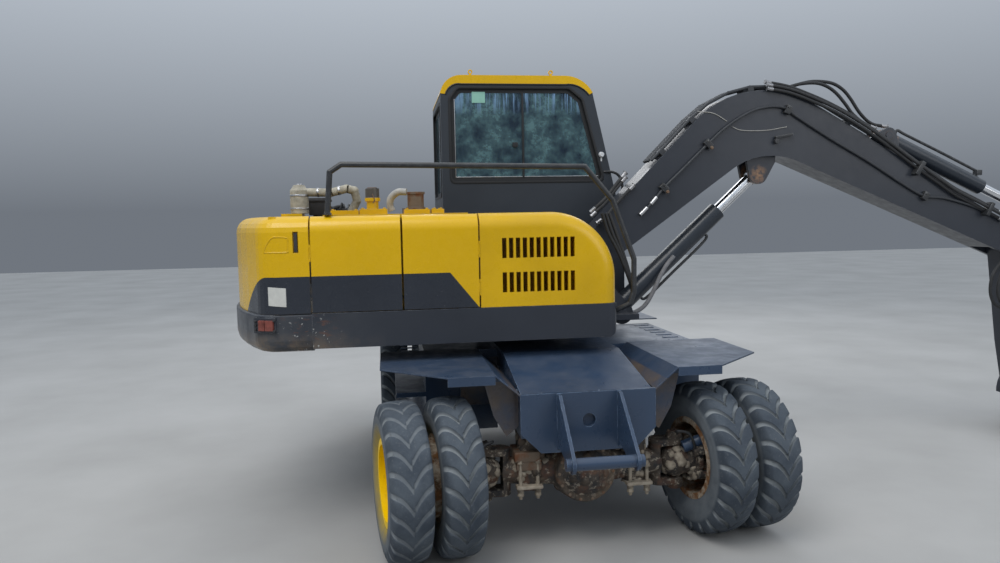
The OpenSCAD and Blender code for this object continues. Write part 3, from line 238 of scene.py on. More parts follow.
DUST = (0.3, 0.26, 0.2)
MUD = (0.17, 0.125, 0.085)
DRY_MUD = (0.4, 0.345, 0.27)
RUST = (0.17, 0.065, 0.028)
YELLOW_TONE = (0.7, 0.42, 0.001)
BLUE_TONE = (0.03, 0.054, 0.1)
DARK_TONE = (0.027, 0.032, 0.043)


def finish_paint(look, base, roughness, dust, edge_wear_and_highlight, edge, coat=0.25):
    """Dust on what faces up, light edges that are partly worn paint and partly painted highlight, faint waviness and a
    clear coat over a base colour.
    """
    dusty = look.times(look.ramp(look.upward(), 0.3, 1.0), look.spots((6, 6), 0.35, 0.75))
    base = look.cover(base, DUST, dusty, dust)
    # Lighter colour on sharp edges: worn paint, and also a painted highlight along the edges
    base = look.cover(base, edge, look.edges(), look.spots((30, 5), 0.4, 0.6), edge_wear_and_highlight)
    look.set(Base_Color=base, Metallic=0.0, Specular_IOR_Level=0.32, Coat_Weight=coat, Coat_Roughness=0.2)
    rough = look.spots((18, 5), 0.3, 0.75, roughness - 0.06, roughness + 0.12)
    look.set(Roughness=look.math("ADD", rough, look.times(dusty, 0.35)))
    look.bump(look.noise(55, 3), 0.06, 0.002)
    return look.material


def tone(look, colour, share=0.82, pattern=(2.2, 5), low=0.35, high=0.7):
    """A colour with spots where only a share of it is left."""
    return look.mix(look.spots(pattern, low, high), colour, tuple(c * share for c in colour))


def material_paint(name, colour, roughness=0.38, dust=0.35, edge_wear_and_highlight=0.5, edge=(0.32, 0.33, 0.34), rust_at=(), coat=0.25):
    """Painted steel; rust_at lists balls (centre, radius) where bare rusty metal shows."""
    look = Look(name)
    base = tone(look, colour)
    for centre, radius in rust_at:
        rusty = look.mix(look.noise(60, 5), RUST, (0.3, 0.2, 0.12))
        base = look.cover(base, rusty, look.near(centre, radius), look.spots((38, 6), 0.38, 0.55))
    return finish_paint(look, base, roughness, dust, edge_wear_and_highlight, edge, coat)


def material_split(name, level, below, above, roughness, low=-9.0):
    """One paint under a height and another over it; under the low height brown dust takes over."""
    look = Look(name)
    z = look.axis("Z")
    base = look.mix(look.math("GREATER_THAN", z, level), tone(look, below), tone(look, above))
    dirt = look.mix(look.noise(20, 6), (0.075, 0.052, 0.035), (0.15, 0.105, 0.065))
    base = look.cover(base, dirt, look.math("LESS_THAN", z, low), look.spots((7, 7, 0.62), 0.3, 0.62), 0.8)
    return finish_paint(look, base, roughness, 0.1, 0.5, (0.24, 0.28, 0.34), 0.3)


# The hood's dark field: top, slope of its front end, bend at the tail's corner, least distance from the middle
FIELD_TOP = 1.515
FIELD_SLOPE, FIELD_FRONT = -1.245, 0.668
FIELD_BEND_X, FIELD_DROP = 1.72, 9.0
FIELD_SIDE = 0.62


def material_hood():
    """Yellow panels with the dark field that runs along the right side and round the tail's corners."""
    look = Look("hood_paint")
    x, z = look.axis("X"), look.axis("Z")
    level = look.math("LESS_THAN", z, FIELD_TOP)
    before = look.math("LESS_THAN", z, look.math("MULTIPLY_ADD", x, FIELD_SLOPE, FIELD_FRONT))
    behind = look.math("MINIMUM", look.math("ADD", x, FIELD_BEND_X), 0.0)
    drop = look.times(behind, behind, FIELD_DROP)
    corner = look.math("LESS_THAN", look.math("ADD", z, drop), FIELD_TOP)
    side = look.math("GREATER_THAN", look.math("ABSOLUTE", look.axis("Y")), FIELD_SIDE)
    field = look.times(level, before, corner, side)
    base = look.mix(field, tone(look, YELLOW_TONE, 0.93), tone(look, DARK_TONE))
    base = look.cover(base, (0.35, 0.35, 0.35), look.spots((95, 4, 0.6), 0.7, 0.74), field, 0.5)
    return finish_paint(look, base, 0.26, 0.1, 0.16, (0.55, 0.36, 0.08))


SCUFFED = (-1.5, SIDE_Y, 1.175)  # place of the chips and rust on the dark band


def material_band():
    """Dark band with scuffs, chips and dust towards the tail."""
    look = Look("band_paint")
    tail = look.ramp(look.axis("X"), -1.05, -1.75)
    base = look.cover(tone(look, DARK_TONE), (0.075, 0.079, 0.086), tail, look.spots((5, 6), 0.3, 0.62), 0.75)
    base = look.cover(base, MUD, tail, look.ramp(look.axis("Z"), 1.2, 1.11), look.spots((9, 7, 0.65), 0.4, 0.6))
    corner = look.near(SCUFFED, 0.07, 0.14)
    base = look.cover(base, (0.42, 0.42, 0.4), corner, look.spots((48, 4, 0.6), 0.64, 0.67), 0.8)
    base = look.cover(base, RUST, corner, look.spots((16, 6, 0.6, (1, 1, 2.2)), 0.56, 0.7), 0.6)
    return finish_paint(look, base, 0.45, 0.15, 0.5, (0.24, 0.25, 0.27))


def material_cab():
    """Dark cab paint with the lifting eyes over the roof in yellow."""
    look = Look("cab_paint")
    eyes = look.math("GREATER_THAN", look.axis("Z"), CAB_TOP + 0.001)
    base = look.mix(eyes, tone(look, (0.032, 0.039, 0.05)), YELLOW_TONE)
    return finish_paint(look, base, 0.46, 0.15, 0.45, (0.22, 0.24, 0.27), 0.15)


PAIR_X = 0.86  # between the two rims of each pair


def material_rim():
    """Yellow outside; the inner rim of each pair is rusty and muddy."""
    look = Look("rim_paint")
    away = look.math("ABSOLUTE", look.axis("X"))
    inner = look.ramp(away, PAIR_X + 0.008, PAIR_X - 0.008)
    paint_tone = tone(look, (0.96, 0.62, 0.001), 0.92)
    paint_tone = look.cover(paint_tone, (0.34, 0.2, 0.03), look.spots((24, 7, 0.6), 0.56, 0.64), 0.175)
    rusty = look.mix(look.spots((30, 7, 0.65), 0.38, 0.62), (0.22, 0.105, 0.045), (0.1, 0.06, 0.035))
    rusty = look.mix(look.spots((12, 8, 0.7), 0.45, 0.6), rusty, DRY_MUD)
    look.set(Base_Color=look.mix(inner, paint_tone, rusty), Roughness=look.ramp(inner, 0.0, 1.0, 0.38, 0.85),
             Metallic=0.0, Specular_IOR_Level=0.15)
    look.bump(look.noise(60, 7, 0.65), 0.25, 0.002)
    return look.material


def material_iron(name, colour, mud=0.7, rust=0.5, depth=0.006, pale=0.7, above=None):
    """Cast iron under mud; above is a height and the colour of what stands over it."""
    look = Look(name)
    grime = look.noise(11, 9, 0.68)
    base = tone(look, colour, 0.5, (25, 6), 0.4)
    base = look.cover(base, MUD, look.ramp(grime, 0.4, 0.58), mud)
    base = look.cover(base, RUST, look.spots((14, 7), 0.52, 0.66), rust)
    base = look.cover(base, DRY_MUD, look.spots((34, 8, 0.7), 0.54, 0.62), pale)
    if above:
        height, colour = above
        base = look.mix(look.math("GREATER_THAN", look.axis("Z"), height), base,
                        tone(look, colour, 0.6, (22, 6), 0.35, 0.65))
    look.set(Base_Color=base, Roughness=look.ramp(grime, 0.3, 0.7, 0.6, 0.95), Metallic=0.1)
    look.bump(look.noise(38, 9, 0.72), 0.85, depth, 0.006)
    return look.material


# Middle of the outer face of the front right pair, with paint sprayed over the tyre
SPRAYED_HUB = (-1.112, -1.455, 0.43)


def material_tyre():
    look = Look("tyre_rubber")
    dust = look.spots((5, 8, 0.62), 0.36, 0.68)
    base = look.mix(dust, (0.038, 0.049, 0.065), (0.086, 0.103, 0.122))
    base = look.cover(base, (0.25, 0.27, 0.28), look.field("groove"), look.spots((16, 6), 0.2, 0.55, 0.55, 1.0))
    base = look.cover(base, (0.2, 0.205, 0.2), look.spots((75, 5, 0.6), 0.58, 0.74, 0.0, 0.35))
    base = look.cover(base, (0.42, 0.29, 0.02), look.near(SPRAYED_HUB, 0.245, 0.075),
                      look.spots((20, 5), 0.25, 0.6, 0.45, 0.85))
    look.set(Base_Color=base, Roughness=look.ramp(dust, 0, 1, 0.78, 0.95), Specular_IOR_Level=0.3)
    look.bump(look.noise(130, 7, 0.7), 0.5, 0.003, 0.005)
    return look.material


def material_metal(name, colour, roughness, rust=0.0):
    look = Look(name)
    base = tone(look, colour, 0.8, (12, 6), 0.4)
    base = look.cover(base, RUST, look.spots((20, 8), 0.5, 0.66), rust)
    metallic, bump = (1.0, 0.05) if rust < 0.5 else (0.55, 0.4)
    look.set(Base_Color=base, Roughness=look.spots((35, 4), 0.3, 0.7, roughness, roughness + 0.15), Metallic=metallic)
    look.bump(look.noise(90, 3), bump, 0.001)
    return look.material


def material_glass():
    """Tinted panes with painted reflections: dark and light blotches for reflected trees and sky, and pale blue streaks
    of painted sky reflection near the top.
    """
    look = Look("cab_glass")
    # Painted sky reflection: pale blue streaks near the top of the panes
    sky_reflection_streaks = look.spots((9, 6, 0.6, (7.0, 7.0, 0.35)), 0.47, 0.6)
    top = look.ramp(look.axis("Z"), 2.58, 2.72)
    # Painted reflection of trees and sky: blotches between dark and light blue-green
    reflection_blotches = look.noise(5.5, 7, 0.62)
    base = look.mix(look.ramp(reflection_blotches, 0.36, 0.62), (0.02, 0.038, 0.062), (0.15, 0.28, 0.3))
    base = look.cover(base, (0.028, 0.05, 0.076), look.spots((26, 8, 0.72), 0.44, 0.58), 0.6)
    base = look.cover(base, (0.3, 0.5, 0.78), sky_reflection_streaks, top, 0.9)
    look.set(Base_Color=base, Roughness=look.ramp(sky_reflection_streaks, 0.0, 1.0, 0.04, 0.18), Metallic=0.35,
             IOR=1.5, Alpha=0.8)
    return look.material


def material_plain(name, colour, roughness, grain=140, depth=0.001, mottle=0.7):
    look = Look(name)
    look.set(Base_Color=tone(look, colour, mottle, (30, 5)),
             Roughness=look.spots((50, 4), 0.3, 0.7, roughness, min(1, roughness + 0.15)))
    look.bump(look.noise(grain, 4), 0.25, depth, 0.002)
    return look.material


def paint(thing, material):
    thing.data.materials.clear()
    thing.data.materials.append(material)


# Heights where a node's paint changes; one lies above all of the part
PALE_PIPES_Z = 1.868
TANK_COVER_Z = 1.963
FENDER_TOP_Z = 0.945
OVER_ALL_Z = 5.0

# Blue-grey paint: its light blue edge colour and large edge share are mostly a painted sky reflection on the front
# faces, partly worn paint
BLUE = material_paint("blue_grey_paint", BLUE_TONE, 0.3, 0.08, 0.85, (0.2, 0.28, 0.4), coat=0.45)
DARK = material_paint("dark_paint", DARK_TONE, 0.4, 0.15, 0.5, (0.2, 0.22, 0.25),
                      [(EYE, 0.085), (ARM_FOOT, 0.075), (ARM_PIN, 0.06)])
CYLINDER = material_paint("cylinder_paint", (0.022, 0.029, 0.04), 0.3, 0.15, 0.4, (0.24, 0.25, 0.27),
                          [(EYE, 0.1), (ARM_FOOT, 0.1)])
YELLOW = material_paint("yellow_paint", YELLOW_TONE, 0.28, 0.12, 0.2, (0.55, 0.36, 0.08))
HOOD = material_hood()
BAND = material_band()
CAB = material_cab()
RIM = material_rim()
IRON = material_iron("axle_iron", (0.026, 0.026, 0.028), 0.4, 0.45, pale=0.75)
ENGINE = material_iron("engine_iron", (0.12, 0.12, 0.11), 0.35, 0.25, 0.003, 0.3,
                       (PALE_PIPES_Z, (0.44, 0.41, 0.33)))
TYRE = material_tyre()
CHROME = material_metal("chrome", (0.74, 0.75, 0.77), 0.1)
STEEL = material_metal("zinc_steel", (0.55, 0.55, 0.56), 0.28)
RUSTY = material_metal("rusty_steel", (0.2, 0.15, 0.11), 0.55, 0.9)
FENDER = material_split("fender_paint", OVER_ALL_Z, BLUE_TONE, BLUE_TONE, 0.3, FENDER_TOP_Z)
TANK = material_split("tank_paint", TANK_COVER_Z, YELLOW_TONE, (0.085, 0.078, 0.07), 0.32)
PIPE = material_plain("pipe_paint", (0.036, 0.04, 0.047), 0.5, 40, 0.0002)
FERRULE = material_metal("ferrule_steel", (0.34, 0.34, 0.35), 0.38)
RIBBED = material_plain("ribbed_hose", (0.2, 0.2, 0.21), 0.6, 60, 0.002)
GLASS = material_glass()
TUBE = material_paint("tube_paint", (0.026, 0.028, 0.031), 0.48, 0.25, 0.6)
HOSE = material_plain("hose_rubber", (0.022, 0.023, 0.025), 0.55, 300, 0.0006)
PALE_HOSE = material_plain("pale_hose", (0.42, 0.41, 0.38), 0.6, 60, 0.002)
GASKET = material_plain("gasket_rubber", (0.012, 0.013, 0.015), 0.42, 200, 0.0005)
SEAT = material_plain("seat_cloth", (0.03, 0.031, 0.036), 0.88, 420, 0.0015)
PLASTIC = material_plain("plastic", (0.035, 0.035, 0.038), 0.55)
LENS = material_plain("red_lens", (0.26, 0.07, 0.052), 0.25, 90, 0.001, 0.45)
STICKER = material_plain("blank_sticker", (0.6, 0.6, 0.56), 0.5, 80, 0.0004, 0.86)
GREEN_STICKER = material_plain("pale_green_sticker", (0.26, 0.52, 0.44), 0.4, 80, 0.0003, 0.92)
LAMP_GLASS = material_plain("lamp_glass", (0.65, 0.67, 0.7), 0.12, 90, 0.0008, 0.9)

CORNERS = ("front_left", "front_right", "rear_left", "rear_right")
NODE_PAINT = {
    BLUE: ["chassis_frame", "front_plate", "side_boxes", "toolbox_lid"],
    FENDER: ["front_fenders", "rear_fenders"],
    IRON: ["front_axle", "rear_axle", "knuckle_left", "knuckle_right", "tie_rod"],
    RIM: ["rims_" + corner for corner in CORNERS],
    TYRE: ["tyres_" + corner for corner in CORNERS],
    BAND: ["deck_frame", "counterweight"],
    CAB: ["cab_shell", "cab_door"],
    DARK: ["slew_ring", "boom", "arm", "bucket", "rocker", "bucket_link"],
    CYLINDER: ["boom_barrel", "arm_barrel", "bucket_barrel"],
    HOOD: ["tail_cover", "door_rear", "door_mid"],
    YELLOW: ["hood_front", "hood_left"],
    TANK: ["tank"],
    ENGINE: ["engine", "radiator"],
    RUSTY: ["exhaust"],
    TUBE: ["handrail"],
    PIPE: ["boom_pipes"],
    GLASS: ["cab_glass", "door_glass"],
    SEAT: ["seat"],
    PLASTIC: ["console"],
    CHROME: ["boom_rod", "arm_rod", "bucket_rod"],
}
for material, names in NODE_PAINT.items():
    for name in names:
        paint(NODES[name], material)


def mm(*points):
    """Points given in millimetres."""
    return [tuple(v / 1000 for v in point) for point in points]


def tilt(degrees):
    return Matrix.Rotation(radians(degrees), 3, "Y")


def spline(points, steps=8):
    """Points on a smooth curve through the given ones."""
    pts = [Vector(p) for p in points]
    pts = [pts[0] * 2 - pts[1]] + pts + [pts[-1] * 2 - pts[-2]]
    out = []
    for i in range(1, len(pts) - 2):
        a, b, c, d = pts[i - 1:i + 3]
        for k in range(steps):
            t = k / steps
            out.append(0.5 * ((2 * b) + (c - a) * t + (2 * a - 5 * b + 4 * c - d) * t * t
                              + (3 * b - a - 3 * c + d) * t * t * t))
    return out + [pts[-2]]


def axes_of(direction):
    """Two unit vectors across a direction."""
    ahead = Vector(direction).normalized()
    side = ahead.orthogonal().normalized()
    return side, ahead.cross(side)


class Piece:
    """A mesh that is put together from simple solids, then finished as one named piece."""

    def __init__(self, name, smooth=35):
        self.name = name
        self.mesh = bmesh.new()
        self.smooth = radians(smooth)

    def ring(self, centre, side, up, radius, sides):
        return [self.mesh.verts.new(centre + (side * cos(a) + up * sin(a)) * radius)
                for a in (2 * pi * k / sides for k in range(sides))]

    def skin(self, rings, closed=False):
        count = len(rings)
        for i in range(count if closed else count - 1):
            a, b = rings[i], rings[(i + 1) % count]
            for k in range(len(a)):
                n = (k + 1) % len(a)
                self.mesh.faces.new((a[k], a[n], b[n], b[k]))
        if not closed:
            self.mesh.faces.new(list(reversed(rings[0])))
            self.mesh.faces.new(rings[-1])

    def tube(self, points, radius, sides):
        """A pipe along the points; radius may be a list, one for each point."""
        pts = [Vector(p) for p in points]
        radii = radius if isinstance(radius, list) else [radius] * len(pts)
        side, _ = axes_of(pts[1] - pts[0])
        made = []
        for i, p in enumerate(pts):
            ahead = (pts[min(i + 1, len(pts) - 1)] - pts[max(i - 1, 0)]).normalized()
            side = (side - ahead * side.dot(ahead)).normalized()
            made.append(self.ring(p, side, ahead.cross(side), radii[i], sides))
        self.skin(made)
        return self

    def rod(self, a, b, radius, sides=16, end=None):
        """A round bar with small chamfers; end is the radius at b."""
        a, b = Vector(a), Vector(b)
        end = radius if end is None else end
        cut = min(radius, end, (b - a).length) * 0.14
        ahead = (b - a).normalized()
        return self.tube([a, a + ahead * cut, b - ahead * cut, b], [radius - cut, radius, end, end - cut], sides)

    def nut(self, at, direction, radius, height):
        at, ahead = Vector(at), Vector(direction).normalized()
        self.rod(at, at + ahead * height * 0.14, radius * 1.22, 14)
        side, up = axes_of(ahead)
        rings = [self.ring(at + ahead * h, side, up, r, 6)
                 for h, r in ((height * 0.12, radius), (height * 0.86, radius), (height, radius * 0.86))]
        self.skin(rings)
        return self

    def box(self, low, high, bevel, turn=None):
        """A box between two corners; turn is a matrix applied about its middle."""
        low, high = Vector(low), Vector(high)
        cube = bmesh.new()
        bmesh.ops.create_cube(cube, size=1)
        turn = turn.to_4x4() if turn else Matrix.Identity(4)
        place = Matrix.Translation((low + high) / 2) @ turn @ Matrix.Diagonal((*(high - low), 1))
        bmesh.ops.transform(cube, matrix=place, verts=cube.verts[:])
        bmesh.ops.bevel(cube, geom=cube.edges[:], offset=bevel, segments=2, affect="EDGES", profile=0.7)
        # The bevel leaves its corners in an order that varies from run to run, so they are sorted
        verts = {at: self.mesh.verts.new(at) for at in sorted(tuple(v.co) for v in cube.verts)}
        loops = []
        for face in cube.faces:
            loop = [tuple(v.co) for v in face.verts]
            first = loop.index(min(loop))
            loops.append(loop[first:] + loop[:first])
        for loop in sorted(loops):
            self.mesh.faces.new([verts[at] for at in loop])
        cube.free()
        return self

    def plate(self, outline, hole, depth):
        """A flat frame between two outlines of equally many points."""
        depth = Vector(depth)
        outer, outer_deep, inner, inner_deep = [
            [self.mesh.verts.new(Vector(p) + depth * k) for p in loop] for loop in (outline, hole) for k in (0, 1)]
        self.skin([outer, outer_deep, inner_deep, inner], closed=True)
        return self

    def done(self, body, material):
        bmesh.ops.recalc_face_normals(self.mesh, faces=self.mesh.faces)
        for face in self.mesh.faces:
            face.smooth = True
        for edge in self.mesh.edges:
            if len(edge.link_faces) == 2 and edge.calc_face_angle(0) > self.smooth:
                edge.smooth = False
        data = bpy.data.meshes.new(self.name)
        self.mesh.to_mesh(data)
        self.mesh.free()
        thing = bpy.data.objects.new(self.name, data)
        COLLECTION.objects.link(thing)
        paint(thing, material)
        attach(thing, body)
        return thing


def round_corners(points, radius, steps=5):
    """An outline in a plane with its corners rounded."""
    pts = [Vector(p) for p in points]
    out = []
    for i, p in enumerate(pts):
        back, on = pts[i - 1] - p, pts[(i + 1) % len(pts)] - p
        before, after = back.normalized(), on.normalized()
        reach = min(radius / tan(before.angle(after) / 2), 0.45 * min(back.length, on.length))
        start, end = p + before * reach, p + after * reach
        for k in range(steps + 1):
            t = k / steps
            out.append(start * (1 - t) ** 2 + p * 2 * t * (1 - t) + end * t * t)
    return out


def grow(points, by):
    """A convex outline in a plane with its sides moved outwards by a distance."""
    pts = [Vector(p) for p in points]
    middle = sum(pts, Vector((0, 0))) / len(pts)
    lines = []
    for i, p in enumerate(pts):
        q = pts[(i + 1) % len(pts)]
        normal = Vector((q.y - p.y, p.x - q.x)).normalized()
        if normal.dot(p - middle) < 0:
            normal.negate()
        lines.append((normal, normal.dot(p) + by))
    out = []
    for i in range(len(pts)):
        (a, c), (b, d) = lines[i - 1], lines[i]
        det = a.x * b.y - a.y * b.x
        out.append(((c * b.y - d * a.y) / det, (a.x * d - b.x * c) / det))
    return out


# Tyres. Rows from the middle outwards: distance from the middle, radius on a lug, depth of the
# grooves, turn behind the middle in degrees. The side wall has no grooves.
TYRE_ROWS = [
    (0.0015, 0.43, 0.0215, 0.0), (0.008, 0.4299, 0.0215, 0.4), (0.018, 0.4297, 0.0215, 2.6),
    (0.034, 0.429, 0.0215, 5.8), (0.052, 0.4275, 0.0215, 8.6), (0.069, 0.4246, 0.022, 10.4),
    (0.082, 0.4205, 0.0225, 11.4), (0.091, 0.415, 0.023, 12.0), (0.098, 0.4062, 0.0225, 12.4),
    (0.1035, 0.3935, 0.019, 12.6), (0.108, 0.378, 0.012, 12.8), (0.1112, 0.363, 0.004, 12.8),
] + [(across, radius, 0.0, 12.8) for across, radius in (
    (0.114, 0.345), (0.1156, 0.327), (0.1142, 0.318), (0.1154, 0.309), (0.1138, 0.288), (0.1045, 0.262),
    (0.095, 0.244), (0.0905, 0.234), (0.079, 0.2145))]
# Steps along one lug and groove: share of the pitch, height
LUG_STEPS = [(0.0, 0.85), (0.03, 1.0), (0.25, 1.0), (0.47, 1.0), (0.68, 1.0), (0.715, 0.85), (0.755, 0.08),
             (0.79, 0.0), (0.87, 0.0), (0.945, 0.0), (0.97, 0.1)]
# Shares of the lugs' depth that are gone on the outer and the inner tyre of each pair
LUG_WEAR = {"front_right": (0.8, 0.15), "front_left": (0.12, 0.05), "rear_left": (0.3, 0.2), "rear_right": (0.4, 0.25)}
LUG_SHIFT = 0.12  # of the pitch, between the two halves of a tread
SHOULDER = 0.088  # distance from the middle where the wear gets less
SHOULDER_WEAR = 0.45
WORN_OFF = 0.004  # taken off a lug that is worn away
WALL_DUST = 0.35  # share of groove dust on the side walls
DUST_LOST = 0.75  # share of groove dust that is gone with worn lugs
DEEP_GROOVE = 0.02  # a groove of this depth is wholly dusty
NUT_CIRCLE, NUT_FACE = 0.145, 0.0415  # radius and distance from the middle of the pair
HUB_CIRCLE, HUB_FACE = 0.062, 0.1695


def tyre_shell(piece, layer, place, worn):
    """One tyre with chevron lugs; worn is the share of the lugs' depth that is gone."""
    rings = []
    pitch = 2 * pi / LUGS
    rows = [(1, row) for row in reversed(TYRE_ROWS)] + [(-1, row) for row in TYRE_ROWS]
    for s, (across, top, depth, turn) in rows:
        gone = worn * (1 if across < SHOULDER else SHOULDER_WEAR)
        ring = []
        for lug in range(LUGS):
            for share, height in LUG_STEPS:
                angle = (lug + share + LUG_SHIFT * s) * pitch + radians(turn)
                sunk = (1 - height) * (1 - gone)
                radius = top - depth * sunk - (WORN_OFF * gone if depth else 0)
                at = Vector((s * across, -radius * cos(angle), radius * sin(angle)))
                vert = piece.mesh.verts.new(place @ at)
                dusty = (1 - height) * (1 - DUST_LOST * gone) * min(1, depth / DEEP_GROOVE)
                vert[layer] = dusty if depth else WALL_DUST
                ring.append(vert)
        rings.append(ring)
    piece.skin(rings, closed=True)


def turns(count, start=0.0):
    """Cosines and sines of equal steps round a circle, begun at a share of a step."""
    angles = [2 * pi * (k + start) / count for k in range(count)]
    return [(cos(a), sin(a)) for a in angles]


def make_tyres():
    up = Vector((0, 0, 1))
    for corner, (worn_outer, worn_inner) in LUG_WEAR.items():
        node, body = f"tyres_{corner}", f"wheel_{corner}_body"
        low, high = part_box(node)
        middle = (low + high) / 2
        axis = Vector(JOINTS[f"wheel_{corner}_spin"]["axis"]).normalized()
        turn = Matrix((axis, up.cross(axis), up)).transposed()
        outwards = 1 if middle.x > 0 else -1
        out = axis * outwards
        tread = Piece(f"tread_{corner}", 38)
        layer = tread.mesh.verts.layers.float.new("groove")
        for s in (1, -1):
            place = Matrix.Translation(middle + axis * TWIN_HALF * s) @ turn.to_4x4()
            tyre_shell(tread, layer, place, worn_outer if s == outwards else worn_inner)
        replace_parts(tread.done(body, TYRE), node)

        nuts = Piece(f"wheel_nuts_{corner}")
        for c, s in turns(8, 0.5):
            at = turn @ Vector((0, c * NUT_CIRCLE, s * NUT_CIRCLE)) + middle
            for face in (axis, -axis):
                nuts.nut(at + face * NUT_FACE, face, 0.0155, 0.02)
        valve = middle + turn @ Vector((0, 0.0, -0.19))
        nuts.rod(valve + out * 0.1, valve + out * 0.165 + Vector((0, 0, 0.012)), 0.004, 8)
        nuts.done(body, STEEL if corner.startswith("rear") else RUSTY)
        ends = Piece(f"hub_bolts_{corner}")
        for c, s in turns(6):
            at = turn @ Vector((0, c * HUB_CIRCLE, s * HUB_CIRCLE)) + middle
            ends.nut(at + out * HUB_FACE, out, 0.0085, 0.01)
        ends.rod(middle + out * HUB_FACE, middle + out * 0.182, 0.03, 24)
        ends.done(body, RUSTY)


def window_trim(name, body, to_space, glass_in, corners):
    """A rubber gasket on the wall and a black border on the glass, round an opening.

    corners lie in the wall's plane; to_space(u, v, w) gives the point w in front of the wall.
    glass_in is how far behind the wall the pane's face lies.
    """
    def loop(by, radius, w):
        return [to_space(*p, w) for p in round_corners(grow(corners, by), radius)]

    def slab(piece, out_by, in_by, r_out, r_in, w0, w1):
        depth = Vector(to_space(0, 0, w1)) - Vector(to_space(0, 0, w0))
        piece.plate(loop(out_by, r_out, w0), loop(in_by, r_in, w0), depth)

    rubber = Piece(name + "_gasket")
    slab(rubber, 0.01, -0.008, 0.05, 0.04, -0.006, 0.003)
    slab(rubber, 0.006, -0.004, 0.048, 0.042, -0.001, 0.0045)
    rubber.done(body, GASKET)
    border = Piece(name + "_border")
    slab(border, -0.0015, -0.036, 0.035, 0.03, -glass_in + 0.0004, -glass_in + 0.0026)
    border.done(body, GASKET)


def make_roof():
    # Arcs over the cab: centre x and z, radius, from and to angle, lip of the cap at both ends
    arcs = ((CAB_REAR + 0.15, CAB_TOP - 0.15, 0.15, 172, 90, 0.032, 0.058),
            (0.3, CAB_TOP - 0.24, 0.24, 90, 30, 0.058, 0.028))
    outline = []
    for cx, cz, r, a0, a1, lip0, lip1 in arcs:
        for k in range(9):
            a = radians(a0 + (a1 - a0) * k / 8)
            nx, nz = cos(a), sin(a)
            outline.append((cx + r * nx, cz + r * nz, nx, nz, lip0 + (lip1 - lip0) * k / 8))
    skin, bite = 0.003, 0.0006
    near, far = CAB_RIGHT - skin, CAB_LEFT + skin
    in_near, in_far = CAB_RIGHT + bite, CAB_LEFT - bite
    cap = Piece("roof_cap", 50)
    cap.skin([[cap.mesh.verts.new((x + nx * up, y, z + nz * up)) for up, y in (
        (skin, near), (skin, far), (-lip, far), (-lip, in_far), (-bite, in_far), (-bite, in_near),
        (-lip, in_near), (-lip, near))] for x, z, nx, nz, lip in outline])
    cap.done(UPPER, YELLOW)
    gutter = Piece("roof_gutter")
    for y in (near + 0.001, far - 0.001):
        gutter.tube([(x - nx * (lip + 0.004), y, z - nz * (lip + 0.004)) for x, z, nx, nz, lip in outline],
                    0.0055, 8)
    gutter.done(UPPER, GASKET)


# Ends of the windscreen's slope, and the height of its pane over the lower end
SCREEN_FOOT = Vector((0.7, 0, 1.91))
SCREEN_HEAD = Vector((0.508, 0, 2.746))
SCREEN_LOW, SCREEN_HIGH = 0.041, 0.76 / 0.836
SCREEN_UP = (SCREEN_HEAD - SCREEN_FOOT).normalized()
SCREEN_OUT = Vector((SCREEN_UP.z, 0, -SCREEN_UP.x))


def on_right(u, v, w):
    return (u, CAB_RIGHT - w, v)


def on_left(u, v, w):
    return (u, CAB_LEFT + w, v)


def on_rear(u, v, w):
    return (CAB_REAR - w, u, v)


def on_front(u, v, w):
    return SCREEN_FOOT + SCREEN_UP * v + SCREEN_OUT * w + Vector((0, u, 0))


